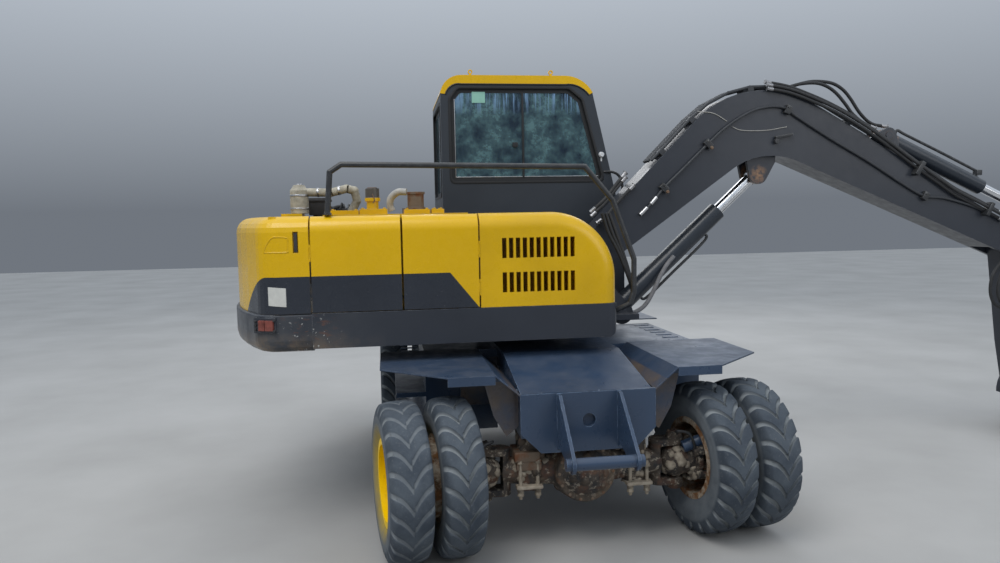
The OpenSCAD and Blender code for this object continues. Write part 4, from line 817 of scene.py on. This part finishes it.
def make_cab_trim():
    make_roof()
    window_trim("window_right", UPPER, on_right, 0.02,
                [(-0.56, 2.095), (-0.56, 2.7), (-0.5, 2.78), (0.33, 2.78), (0.43, 2.7), (0.59, 2.095)])
    window_trim("window_left", UPPER, on_left, 0.02,
                [(-0.56, 2.0), (-0.56, 2.7), (-0.13, 2.7), (-0.13, 2.0)])
    window_trim("window_rear", UPPER, on_rear, 0.02,
                [(0.226, 2.0), (0.226, 2.68), (0.966, 2.68), (0.966, 2.0)])
    window_trim("window_door", "cab_door_body", on_left, 0.018,
                [(0.0, 1.9), (0.0, 2.68), (0.32, 2.68), (0.385, 2.64), (0.555, 1.9)])
    high = (SCREEN_HEAD - SCREEN_FOOT).length * SCREEN_HIGH
    window_trim("windscreen", UPPER, on_front, 0.0195,
                [(0.206, SCREEN_LOW), (0.206, high), (0.985, high), (0.985, SCREEN_LOW)])

    Piece("window_lines").box((-0.522, 0.1605, 2.132), (0.552, 0.1634, 2.137), 0.0008).box(
        (-0.526, 0.1605, 2.132), (-0.521, 0.1634, 2.7), 0.0008).done(UPPER, STEEL)
    Piece("window_bar").box((-0.027, 0.1575, 2.128), (-0.013, 0.1655, 2.75), 0.002).box(
        (-0.1, 0.15, 2.35), (-0.06, 0.1655, 2.385), 0.004).done(UPPER, GASKET)
    Piece("window_sticker").box((-0.395, 0.1622, 2.672), (-0.297, 0.1634, 2.752), 0.0005).done(
        UPPER, GREEN_STICKER)
    Piece("front_handle").tube(spline(mm(
        (585, 165, 2161), (600, 146, 2162), (655, 143, 2160), (700, 143, 2138), (726, 143, 2090),
        (733, 143, 2024), (728, 143, 1950), (720, 146, 1915), (700, 165, 1905))), 0.0105, 12).done(UPPER, TUBE)
    Piece("pillar_lamp").rod((0.572, 0.152, 2.29), (0.572, 0.126, 2.29), 0.022, 24, 0.018).rod(
        (0.572, 0.15, 2.24), (0.572, 0.15, 2.3), 0.007, 12).done(UPPER, LAMP_GLASS)

    wiper = Piece("wiper")
    base, tip = on_front(0.6, 0.01, 0.012), on_front(0.42, 0.52, -0.01)
    wiper.rod(base - SCREEN_OUT * 0.03, base + SCREEN_OUT * 0.012, 0.016, 20)
    wiper.tube([base, base.lerp(tip, 0.5) + SCREEN_OUT * 0.006, tip], 0.005, 8)
    wiper.tube([on_front(0.42, 0.3, -0.0135), on_front(0.42, 0.74, -0.0135)], 0.006, 8)
    wiper.done(UPPER, PLASTIC)
    Piece("cab_door_latch").box((0.565, 1.043, 1.78), (0.612, 1.047, 1.88), 0.001).tube(spline(mm(
        (590, 1040, 1795), (590, 1062, 1805), (590, 1064, 1850), (590, 1040, 1865))), 0.007, 10).done(
        "cab_door_body", PLASTIC)

    inside = Piece("cab_controls")
    for y in (0.27, 0.92):
        inside.rod((0.06, y, 1.735), (0.06, y, 1.79), 0.045, 20, 0.022)
        inside.tube(spline([(0.06, y, 1.78), (0.065, y, 1.86), (0.058, y, 1.93)]), 0.008, 10)
        inside.rod((0.058, y, 1.915), (0.052, y, 2.005), 0.021, 16, 0.016)
    inside.box((0.47, 0.225, 1.93), (0.5, 0.33, 2.05), 0.006)
    inside.tube([(0.49, 0.275, 1.94), (0.52, 0.275, 1.74)], 0.01, 10)
    for y in (0.5, 0.68):
        inside.box((0.5, y, 1.22), (0.585, y + 0.075, 1.235), 0.004, tilt(-28))
    inside.done(UPPER, PLASTIC)


# The tail cover's right side: where its flat part ends, and the arc of the corner after it
TAIL_FLAT_END = -1.6476
TAIL_ARC_Y = 0.895
TAIL_ARC_R = 0.15
LAMP_AT = Vector((-1.74, -1.035, 1.243))
COVER_TOP = 1.8895
LID_TOP = 1.8955  # of the one cover that stands higher


def tail_surface(x, out=0.0):
    """Y of the right side of the tail cover at x, moved outwards."""
    if x > TAIL_FLAT_END:
        return SIDE_Y - out
    t = min(1, (TAIL_FLAT_END - x) / (TAIL_ARC_R + out))
    return -(TAIL_ARC_Y + (TAIL_ARC_R + out) * sqrt(max(0, 1 - t * t)))


def make_hood_trim():
    plate = Piece("tail_sticker")
    columns = []
    for k in range(9):
        x = -1.612 - 0.1 * k / 8
        low, high = 1.345 + 0.01 * k / 8, 1.452 + 0.009 * k / 8
        columns.append([plate.mesh.verts.new((x, tail_surface(x, d), z)) for d, z in
                        ((-0.0006, low), (0.001, low), (0.001, high), (-0.0006, high))])
    plate.skin(columns)
    plate.done(UPPER, STICKER)
    ridge = spline([(-1.724, 1.655), (-1.722, 1.672), (-1.706, 1.705), (-1.68, 1.736), (-1.655, 1.742), (-1.6, 1.738),
                    (-1.592, 1.728), (-1.595, 1.665), (-1.6, 1.655), (-1.724, 1.655)], 4)
    Piece("tail_emboss").tube([(p.x, tail_surface(p.x, -0.002), p.y) for p in ridge], 0.0045, 8).done(
        UPPER, HOOD)
    Piece("tail_latch").box((-1.56, SIDE_Y + 0.006, 1.655), (-1.54, SIDE_Y + 0.02, 1.765), 0.003).done(
        UPPER, PLASTIC)

    turn = Matrix.Rotation(radians(-25), 3, "Z")
    lens = Piece("tail_lens")
    for x0, x1 in ((-0.034, 0.006), (0.009, 0.062)):
        middle = turn @ Vector(((x0 + x1) / 2, -0.004, 0)) + LAMP_AT
        half = Vector(((x1 - x0) / 2, 0.008, 0.03))
        lens.box(middle - half, middle + half, 0.005, turn)
    lens.done(UPPER, LENS)
    studs = Piece("tail_lamp_frame")
    for x, z in ((-0.055, 0.024), (-0.055, 0.0), (-0.055, -0.024), (0.068, 0.03), (0.068, -0.03)):
        middle = turn @ Vector((x, 0.004, z)) + LAMP_AT
        studs.rod(middle, middle + turn @ Vector((0, -0.016, 0)), 0.007, 12)
    studs.done(UPPER, PLASTIC)

    bolts = Piece("cover_bolts")
    for x0, x1, top in ((-1.37, -1.2, COVER_TOP), (-1.195, -1.03, LID_TOP), (-0.93, -0.776, COVER_TOP),
                        (-0.765, -0.69, COVER_TOP)):
        for x in (x0 + 0.018, x1 - 0.018):
            for y in (-0.812, -0.648):
                bolts.nut((x, y, top), (0, 0, 1), 0.008, 0.007)
    bolts.done(UPPER, YELLOW)
    Piece("filler_ring").rod((-1.118, -0.74, 2.018), (-1.118, -0.74, 2.026), 0.03, 24).tube(
        spline([(-1.118, -0.788, 1.985), (-1.105, -0.8, 1.95), (-1.115, -0.8, 1.93)]), 0.003, 6).done(
        UPPER, RUSTY)


def hose(points, radius, name, body, material=HOSE, ends=True):
    """A hose along a smooth curve, with a metal ferrule at both ends."""
    curve = spline(points)
    Piece(name).tube(curve, radius, 12).done(body, material)
    if ends:
        cap = Piece(name + "_ends")
        for a, b in ((curve[0], curve[3]), (curve[-1], curve[-4])):
            ahead = (b - a).normalized()
            cap.rod(a - ahead * 0.004, a + ahead * 0.042, radius * 1.18, 14)
            cap.nut(a - ahead * 0.006, ahead, radius * 1.3, 0.014)
        cap.done(body, FERRULE)


PIPE_Y = BOOM_NEAR - 0.014
WIRE_Y = BOOM_NEAR - 0.004
PIPE_R = 0.011
HOSE_R = 0.0125
ARM_HOSE_R = 0.0115
# X and Z of the pipe along the boom's near side, and of the long hoses on its back
SIDE_RUN = mm((745, 1832), (834, 1915), (923, 2020), (1080, 2167), (1252, 2328), (1395, 2451), (1569, 2554),
              (1714, 2592), (1838, 2583), (1924, 2526), (2192, 2367), (2514, 2190), (2801, 2018), (2968, 1934),
              (3134, 1916), (3371, 1852), (3517, 1789))
LONG_RUN = mm((1700, 2720), (1870, 2690), (2042, 2632), (2199, 2568), (2358, 2489), (2520, 2394), (2667, 2298),
              (2807, 2202), (2940, 2112), (3083, 2021), (3218, 1937), (3380, 1860), (3509, 1797), (3620, 1740))
# Whole runs of the hoses over the boom's back, of the ribbed hose and of the hoses round the arm's foot
OVER_RUNS = (
    mm((1780, -105, 2722), (1902, -105, 2746), (2021, -105, 2776), (2140, -105, 2784), (2228, -105, 2763),
       (2309, -105, 2712), (2383, -108, 2631), (2441, -112, 2557), (2524, -118, 2491), (2620, -120, 2449)),
    mm((1860, -50, 2728), (1972, -50, 2763), (2076, -50, 2793), (2172, -50, 2806), (2302, -50, 2795),
       (2392, -50, 2751), (2458, -50, 2684), (2543, -50, 2570), (2640, -50, 2492), (2760, -56, 2470)))
RIBBED_RUN = mm((620, -185, 1118), (660, -190, 1118), (723, -190, 1138), (776, -190, 1169), (814, -190, 1212),
                (851, -190, 1276), (878, -190, 1329), (912, -188, 1397), (958, -180, 1468), (1018, -165, 1530))
ARM_RUNS = (
    mm((3665, -236, 1470), (3612, -238, 1418), (3545, -238, 1320), (3530, -236, 1204), (3566, -230, 1109),
       (3642, -215, 1067), (3720, -195, 1060)),
    mm((3690, -268, 1470), (3640, -270, 1400), (3585, -268, 1310), (3570, -262, 1210), (3600, -250, 1130),
       (3660, -230, 1095), (3740, -195, 1090)))


def make_foot_hoses():
    for k, (aside, lift) in enumerate(((0.0, 0.0), (0.0135, 0.03))):
        hose([(0.39, -0.232 + aside, 1.831 + lift), (0.449, -0.236, 1.886 + lift), (0.5, -0.232, 1.934 + lift),
              (0.56, -0.226, 2.006 + lift), (0.64, -0.222, 2.098 + lift)], HOSE_R, f"foot_hose_{k}", BOOM)
    hose(mm((426, -238, 1781), (492, -240, 1829), (536, -236, 1877), (600, -228, 1945), (700, -224, 2040)),
         HOSE_R, "foot_hose_2", BOOM)
    for k, s in enumerate((0.0, 0.028, 0.056)):
        hose([(0.5 - s, -0.29 - s * 0.4, 1.849), (0.548 - s, -0.3, 1.71), (0.588 - s * 0.6, -0.302, 1.589),
              (0.638 - s * 0.3, -0.3, 1.43), (0.666, -0.298 + s * 0.3, 1.306), (0.66, -0.29 + s * 0.3, 1.24),
              (0.63, -0.27 + s, 1.19)], HOSE_R, f"drop_hose_{k}", UPPER, ends=False)


def make_side_pipe():
    """Steel pipe along the near side, with its ferrules and clamps."""
    Piece("side_pipe").tube(spline([(x, PIPE_Y, z) for x, z in SIDE_RUN]), 0.0095, 10).done(BOOM, PIPE)
    Piece("side_pipe_ferrule").rod((0.745, PIPE_Y, 1.832), (0.8, PIPE_Y, 1.884), 0.0135, 14).rod(
        (0.826, PIPE_Y, 1.907), (0.87, PIPE_Y, 1.957), 0.0135, 14).done(BOOM, STEEL)
    clamps = Piece("side_clamps")
    for x, z, slope in ((0.923, 2.02, 43), (1.252, 2.328, 43), (1.86, 2.57, -25), (2.968, 1.934, -30)):
        clamps.box((x - 0.022, PIPE_Y - 0.02, z - 0.03), (x + 0.022, PIPE_Y + 0.016, z + 0.03), 0.004, tilt(-slope))
        clamps.nut((x, PIPE_Y - 0.02, z + 0.018), (0, -1, 0), 0.008, 0.008)
    clamps.done(BOOM, TUBE)
    rusty = Piece("rusty_nuts")
    for x, z in ((0.944, 1.992), (1.274, 2.3)):
        rusty.nut((x, PIPE_Y - 0.02, z), (0, -1, 0), 0.011, 0.01)
    rusty.done(BOOM, RUSTY)


def make_boom_trim():
    make_foot_hoses()
    make_side_pipe()
    # Hoses that arch over the back of the boom to the arm cylinder, and long ones on the near edge to the arm
    for k, points in enumerate(OVER_RUNS):
        hose(points, HOSE_R, f"over_hose_{k}", BOOM)
    for k, (y, y_end, down) in enumerate(((-0.232, -0.232, 0.0), (-0.226, -0.258, -0.028), (-0.2, -0.228, -0.052))):
        hose([(x, y + (y_end - y) * i / 13, z - down) for i, (x, z) in enumerate(LONG_RUN)],
             ARM_HOSE_R, f"long_hose_{k}", BOOM)
    Piece("hose_band").box((2.885, -0.268, 2.085), (2.918, -0.208, 2.195), 0.006, tilt(32)).box(
        (3.47, -0.275, 1.775), (3.5, -0.208, 1.88), 0.006, tilt(28)).done(BOOM, TUBE)
    Piece("boom_lamp_bracket").box(
        (1.765, BOOM_NEAR - 0.03, 2.375), (1.9, BOOM_NEAR + 0.002, 2.392), 0.003, tilt(-10)).rod(
        (1.775, BOOM_NEAR + 0.002, 2.345), (1.775, BOOM_NEAR - 0.034, 2.345), 0.018, 16).done(BOOM, TUBE)
    Piece("boom_wire").tube(
        spline([(1.18, BOOM_NEAR - 0.003, 2.56), (1.3, WIRE_Y, 2.545), (1.4, WIRE_Y, 2.49)]), 0.0028, 6).tube(
        spline([(1.44, WIRE_Y, 2.45), (1.52, WIRE_Y, 2.425), (1.7, WIRE_Y, 2.425), (1.86, WIRE_Y, 2.45)]),
        0.0028, 6).done(BOOM, PALE_HOSE)

    # Pipes of the cylinders, laid out along their axes
    foot, along, up = (Vector(p) for p in (ARM_FOOT, ARM_CYLINDER_AXIS, ARM_CYLINDER_UP))
    start, end = foot + along * 0.1 + up * 0.098, foot + along * 0.86 + up * 0.098
    run = [start - up * 0.05, start, start + along * 0.08, foot + along * 0.5 + up * 0.1, end - along * 0.03, end,
           end - up * 0.045]
    Piece("arm_cylinder_pipe").tube(spline(run), PIPE_R, 10).box(
        end - Vector((0.022, 0.025, 0.03)), end + Vector((0.022, 0.025, 0.012)), 0.005).done("arm_barrel_body", TUBE)
    foot, along, side = (Vector(p) for p in (BOOM_CYLINDER_FOOT, BOOM_CYLINDER_AXIS, BOOM_CYLINDER_SIDE))
    run = [foot + along * a + side * b
           for a, b in ((0.2, 0.06), (0.24, 0.098), (0.5, 0.1), (0.84, 0.098), (0.88, 0.06))]
    Piece("boom_cylinder_pipe").tube(spline(run), PIPE_R, 10).done("boom_barrel_body", TUBE)
    ribbed = spline(RIBBED_RUN, 12)
    radii = [0.0165 if i % 2 else 0.0135 for i in range(len(ribbed))]
    Piece("ribbed_hose", 80).tube(ribbed, radii, 12).done("boom_barrel_body", RIBBED)
    for name, points in zip(("arm_hose", "arm_hose_1"), ARM_RUNS):
        hose(points, ARM_HOSE_R, name, "arm_body")


def pin_caps(name, body, at, y0, y1, radius):
    """A washer, a cap and a lock bolt on both ends of a pin."""
    x, z = at
    piece = Piece(name)
    for y, s in ((y0, -1), (y1, 1)):
        piece.rod((x, y - s * 0.002, z), (x, y + s * 0.006, z), radius * 1.25, 28)
        piece.rod((x, y, z), (x, y + s * 0.012, z), radius * 0.8, 24)
        piece.nut((x, y + s * 0.01, z), (0, s, 0), radius * 0.28, 0.01)
        bolt_z = z + radius * 0.55
        piece.rod((x, y + s * 0.006, bolt_z), (x, y + s * 0.014, bolt_z), 0.005, 10)
    piece.done(body, RUSTY)


TRIES = 40  # random places drawn at most for each one that is wanted


def sample_surface(names, count, rng, keep):
    """Points and normals spread over the surface of some nodes, where keep(point, normal) is true."""
    faces, weights = [], []
    for name in names:
        thing = NODES[name]
        for polygon in thing.data.polygons:
            corners = [thing.matrix_world @ thing.data.vertices[v].co for v in polygon.vertices]
            faces.append((polygon.normal.copy(), corners))
            weights.append(polygon.area)
    out = []
    for _ in range(count * TRIES):
        if len(out) >= count:
            break
        normal, corners = rng.choices(faces, weights)[0]
        k = rng.randrange(1, len(corners) - 1)
        a, b = sorted((rng.random(), rng.random()))
        point = corners[0] * a + corners[k] * (b - a) + corners[k + 1] * (1 - b)
        if keep(point, normal):
            out.append((point, normal))
    return out


def mud_lumps(name, nodes, body, count, seed, sizes, material, keep):
    rng = random.Random(seed)
    piece = Piece(name, 180)
    for point, normal in sample_surface(nodes, count, rng, keep):
        r = rng.uniform(*sizes)
        made = bmesh.ops.create_icosphere(piece.mesh, subdivisions=2, radius=1)["verts"]
        offset = Vector((rng.uniform(0, 50), rng.uniform(0, 50), rng.uniform(0, 50)))
        side, up = axes_of(normal)
        squash = rng.uniform(0.3, 0.6)
        for v in made:
            shape = r * (1 + 0.42 * noise.noise(v.co * 1.9 + offset) + 0.22 * noise.noise(v.co * 5 + offset))
            v.co = point + (side * v.co.x + up * v.co.y) * shape + normal * (v.co.z * shape * squash - r * 0.12)
    piece.done(body, material)


MUD_PALE = material_iron("dry_mud", DRY_MUD, 0.35, 0.0, 0.006, 0.6)
MUD_DARK = material_iron("wet_mud", (0.04, 0.032, 0.026), 0.45, 0.35, 0.006, 0.25)
CLEAR_X = 0.385  # mud on the axle ends here, clear of the knuckles


def make_axle_trim():
    rivets = Piece("plate_rivets")
    for x, y in ((-0.357, -1.296), (-0.328, -1.357), (-0.367, -1.451), (-0.361, -1.545), (-0.254, -1.56), (0.06, -1.56),
                 (0.34, -1.5), (0.35, -1.33)):
        rivets.rod((x, y, 0.8915), (x, y, 0.8975), 0.0075, 12, 0.005)
    rivets.done(CHASSIS, BLUE)
    rods = Piece("axle_rods")
    y = -1.462
    for x0, x1, low, high in ((-0.358, -0.262, 0.29, 0.52), (0.262, 0.358, 0.27, 0.46)):
        for x in (x0, x1):
            rods.rod((x, y, low), (x, y, high), 0.01, 12)
            for z, height in ((low + 0.02, 0.02), (low + 0.044, 0.016), (high - 0.03, 0.018)):
                rods.nut((x, y, z), (0, 0, 1), 0.017, height)
        rods.box((x0 - 0.025, y - 0.028, low + 0.06), (x1 + 0.025, y + 0.028, low + 0.078), 0.004)
    rods.done(CHASSIS, MUD_PALE)
    Piece("rust_block").box((-0.392, -1.478, 0.498), (-0.25, -1.3, 0.555), 0.014).box(
        (-0.38, -1.47, 0.448), (-0.24, -1.31, 0.505), 0.01).done(CHASSIS, RUSTY)
    bolts = Piece("axle_bolts")
    for c, s in turns(14):
        bolts.nut((c * 0.15, AXLE_Y - 0.125, HUB_Z + s * 0.15), (0, -1, 0), 0.0095, 0.01)
    bolts.done(CHASSIS, RUSTY)
    Piece("axle_cover").rod((0, AXLE_Y - 0.085, HUB_Z), (0, AXLE_Y - 0.131, HUB_Z), 0.172, 40, 0.165).rod(
        (0, AXLE_Y - 0.12, HUB_Z), (0, AXLE_Y - 0.158, HUB_Z), 0.105, 36, 0.07).done(CHASSIS, MUD_DARK)


def make_knuckle_trim(s, side):
    """Trim of one knuckle; s is 1 on the left, -1 on the right."""
    body = f"knuckle_{side}_body"
    turn = Matrix.Rotation(radians(STEER_REST), 3, "Z")
    pivot = Vector((s * KINGPIN_X, AXLE_Y, HUB_Z))
    parts = Piece(f"knuckle_parts_{side}")

    def at(x, y, z):
        return pivot + turn @ Vector((s * x, y, z))
    for z in (1, -1):
        parts.rod(at(0, 0, z * 0.12), at(0, 0, z * 0.162), 0.052, 28, 0.044)
    for c, d in turns(4, 0.5):
        parts.nut(at(0.034 * c, 0.034 * d, 0.16), (0, 0, 1), 0.007, 0.008)
    parts.rod(at(0.07, -0.095, 0.06), at(0.15, -0.105, 0.075), 0.03, 20)
    parts.rod(at(0.095, -0.098, -0.07), at(0.165, -0.098, -0.08), 0.026, 20)
    for c, d in turns(12):
        parts.nut(at(0.092, 0.104 * c, 0.104 * d), turn @ Vector((-s, 0, 0)), 0.0085, 0.012)
    parts.done(body, IRON)
    Piece(f"knuckle_caps_{side}").rod(at(0.02, -0.06, 0.085), at(0.13, -0.085, 0.125), 0.034, 22).rod(
        at(0.125, -0.084, 0.123), at(0.15, -0.09, 0.132), 0.026, 20).done(body, BLUE)
    hose([at(-0.01, -0.055, 0.165), at(-0.03, -0.095, 0.19), at(0.03, -0.115, 0.175), at(0.065, -0.115, 0.105),
          at(0.072, -0.1, 0.065)], 0.008, f"brake_hose_{side}", body, ends=False)
    mud_lumps(f"knuckle_mud_{side}", [f"knuckle_{side}"], body, 95, 11 + s, (0.01, 0.03), MUD_PALE,
              lambda p, n: abs(p.x) < 0.8)


def make_undercarriage_trim():
    make_axle_trim()
    make_knuckle_trim(1, "left")
    make_knuckle_trim(-1, "right")
    mud_lumps("axle_mud_pale", ["front_axle"], CHASSIS, 90, 5, (0.008, 0.024), MUD_PALE,
              lambda p, n: 0.2 < abs(p.x) < CLEAR_X)
    mud_lumps("axle_mud_dark", ["front_axle", "rear_axle"], CHASSIS, 170, 7, (0.012, 0.034), MUD_DARK,
              lambda p, n: abs(p.x) < CLEAR_X or p.y > 0)
    treads = Piece("step_treads")
    step_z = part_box("side_boxes")[1].z
    for x0, x1 in ((-0.97, -0.86), (0.86, 0.97)):
        for k in range(7):
            y = -0.5 + k * 0.125
            treads.box((x0, y, step_z - 0.001), (x1, y + 0.03, step_z + 0.005), 0.002)
    treads.done(CHASSIS, BLUE)
    ring = Piece("slew_bolts")
    ring_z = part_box("chassis_frame")[1].z - 0.004
    for c, s in turns(28):
        ring.nut((0.405 * c, 0.405 * s, ring_z), (0, 0, 1), 0.011, 0.01)
    ring.done(CHASSIS, RUSTY)


def make_engine_trim():
    x0, cylinders = -1.18, (-0.21, -0.02, 0.17, 0.36)  # X of the engine, Y of its cylinders
    belt = Piece("engine_belt", 50)
    loop = []
    for cx, cz, r, a0, a1 in ((x0, 1.47, 0.1, 180, 360), (x0 - 0.12, 1.61, 0.064, 20, 180)):
        for k in range(10):
            a = radians(a0 + (a1 - a0) * k / 9)
            loop.append(Vector((cx + r * cos(a), 0.512, cz + r * sin(a))))
    middle = sum(loop, Vector()) / len(loop)
    belt.plate(loop, [middle + (p - middle) * 0.95 for p in loop], Vector((0, 0.016, 0)))
    belt.done(UPPER, HOSE)
    caps = Piece("engine_caps")
    for y in cylinders:
        caps.rod((x0, y, 1.803), (x0, y, 1.822), 0.024, 18)
        for dx in (-0.052, 0.052):
            caps.nut((x0 + dx, y, 1.8045), (0, 0, 1), 0.008, 0.009)
    caps.done(UPPER, RUSTY)
    pipes = Piece("fuel_pipes")
    for k, y in enumerate(cylinders):
        top = 1.835 + 0.006 * k
        pipes.tube(spline([(x0 + 0.145, y - 0.02, 1.72), (x0 + 0.15, y - 0.01, 1.79), (x0 + 0.105, y, top),
                           (x0 + 0.06, y + 0.01, 1.82)]), 0.005, 8)
    pipes.done(UPPER, STEEL)
    hose([(x0 - 0.02, 0.52, 1.7), (x0 - 0.05, 0.58, 1.78), (x0 - 0.03, 0.68, 1.825), (x0, 0.76, 1.8)],
         0.03, "top_water_hose", UPPER, ends=False)
    hose(mm((-908, -640, 2000), (-962, -625, 2000), (-1005, -610, 1965), (-1012, -600, 1920), (-1000, -600, 1885)),
         0.022, "pale_hose", UPPER, PALE_HOSE, ends=False)
    Piece("control_box").box((-1.545, -0.245, 1.87), (-1.405, -0.155, 1.986), 0.008).box(
        (-1.552, -0.25, 1.96), (-1.398, -0.15, 1.976), 0.004).box(
        (-1.52, -0.225, 1.79), (-1.43, -0.175, 1.872), 0.004).done(UPPER, PLASTIC)
    rng = random.Random(4)
    for k in range(7):
        start = Vector((-1.375 + 0.012 * k, -0.2 + rng.uniform(-0.03, 0.03), 1.905))
        end = Vector((-1.3 + rng.uniform(-0.05, 0.08), -0.16 + rng.uniform(-0.05, 0.25), 1.815))
        lift = rng.uniform(0.03, 0.09)
        top = (start + end) / 2 + Vector((rng.uniform(-0.02, 0.02), 0, lift))
        run = [start + Vector((-0.07, 0, 0.02)), start, top, end, end + Vector((0.01, 0.02, -0.06))]
        Piece(f"loom_{k}").tube(spline(run), rng.uniform(0.0035, 0.007), 8).done(UPPER, HOSE)
    hose(mm((-1430, -300, 1830), (-1400, -250, 1900), (-1340, -180, 1925), (-1290, -60, 1880), (-1280, 50, 1800)),
         0.013, "loom_hose", UPPER, ends=False)
    strap = Piece("cleaner_straps")
    for z in (1.905, 1.99):
        strap.rod((-1.592, -0.35, z), (-1.592, -0.35, z + 0.014), 0.0605, 36)
    strap.rod((-1.592, -0.35, 2.06), (-1.592, -0.35, 2.072), 0.02, 20).done(UPPER, STEEL)
    clips = Piece("pipe_clips")
    for x, z in ((-1.48, 2.0155), (-1.345, 2.026)):
        clips.rod((x, -0.35, z), (x + 0.014, -0.35, z + 0.001), 0.03, 28)
    clips.done(UPPER, STEEL)


make_tyres()
make_cab_trim()
make_hood_trim()
make_boom_trim()
make_undercarriage_trim()
make_engine_trim()
pin_caps("boom_foot_caps", UPPER, (0.27, 1.45), -0.262, 0.102, 0.045)
pin_caps("boom_nose_caps", BOOM, (ARM_PIN[0], ARM_PIN[2]), -0.211, 0.051, 0.038)
make_camera()
make_studio()
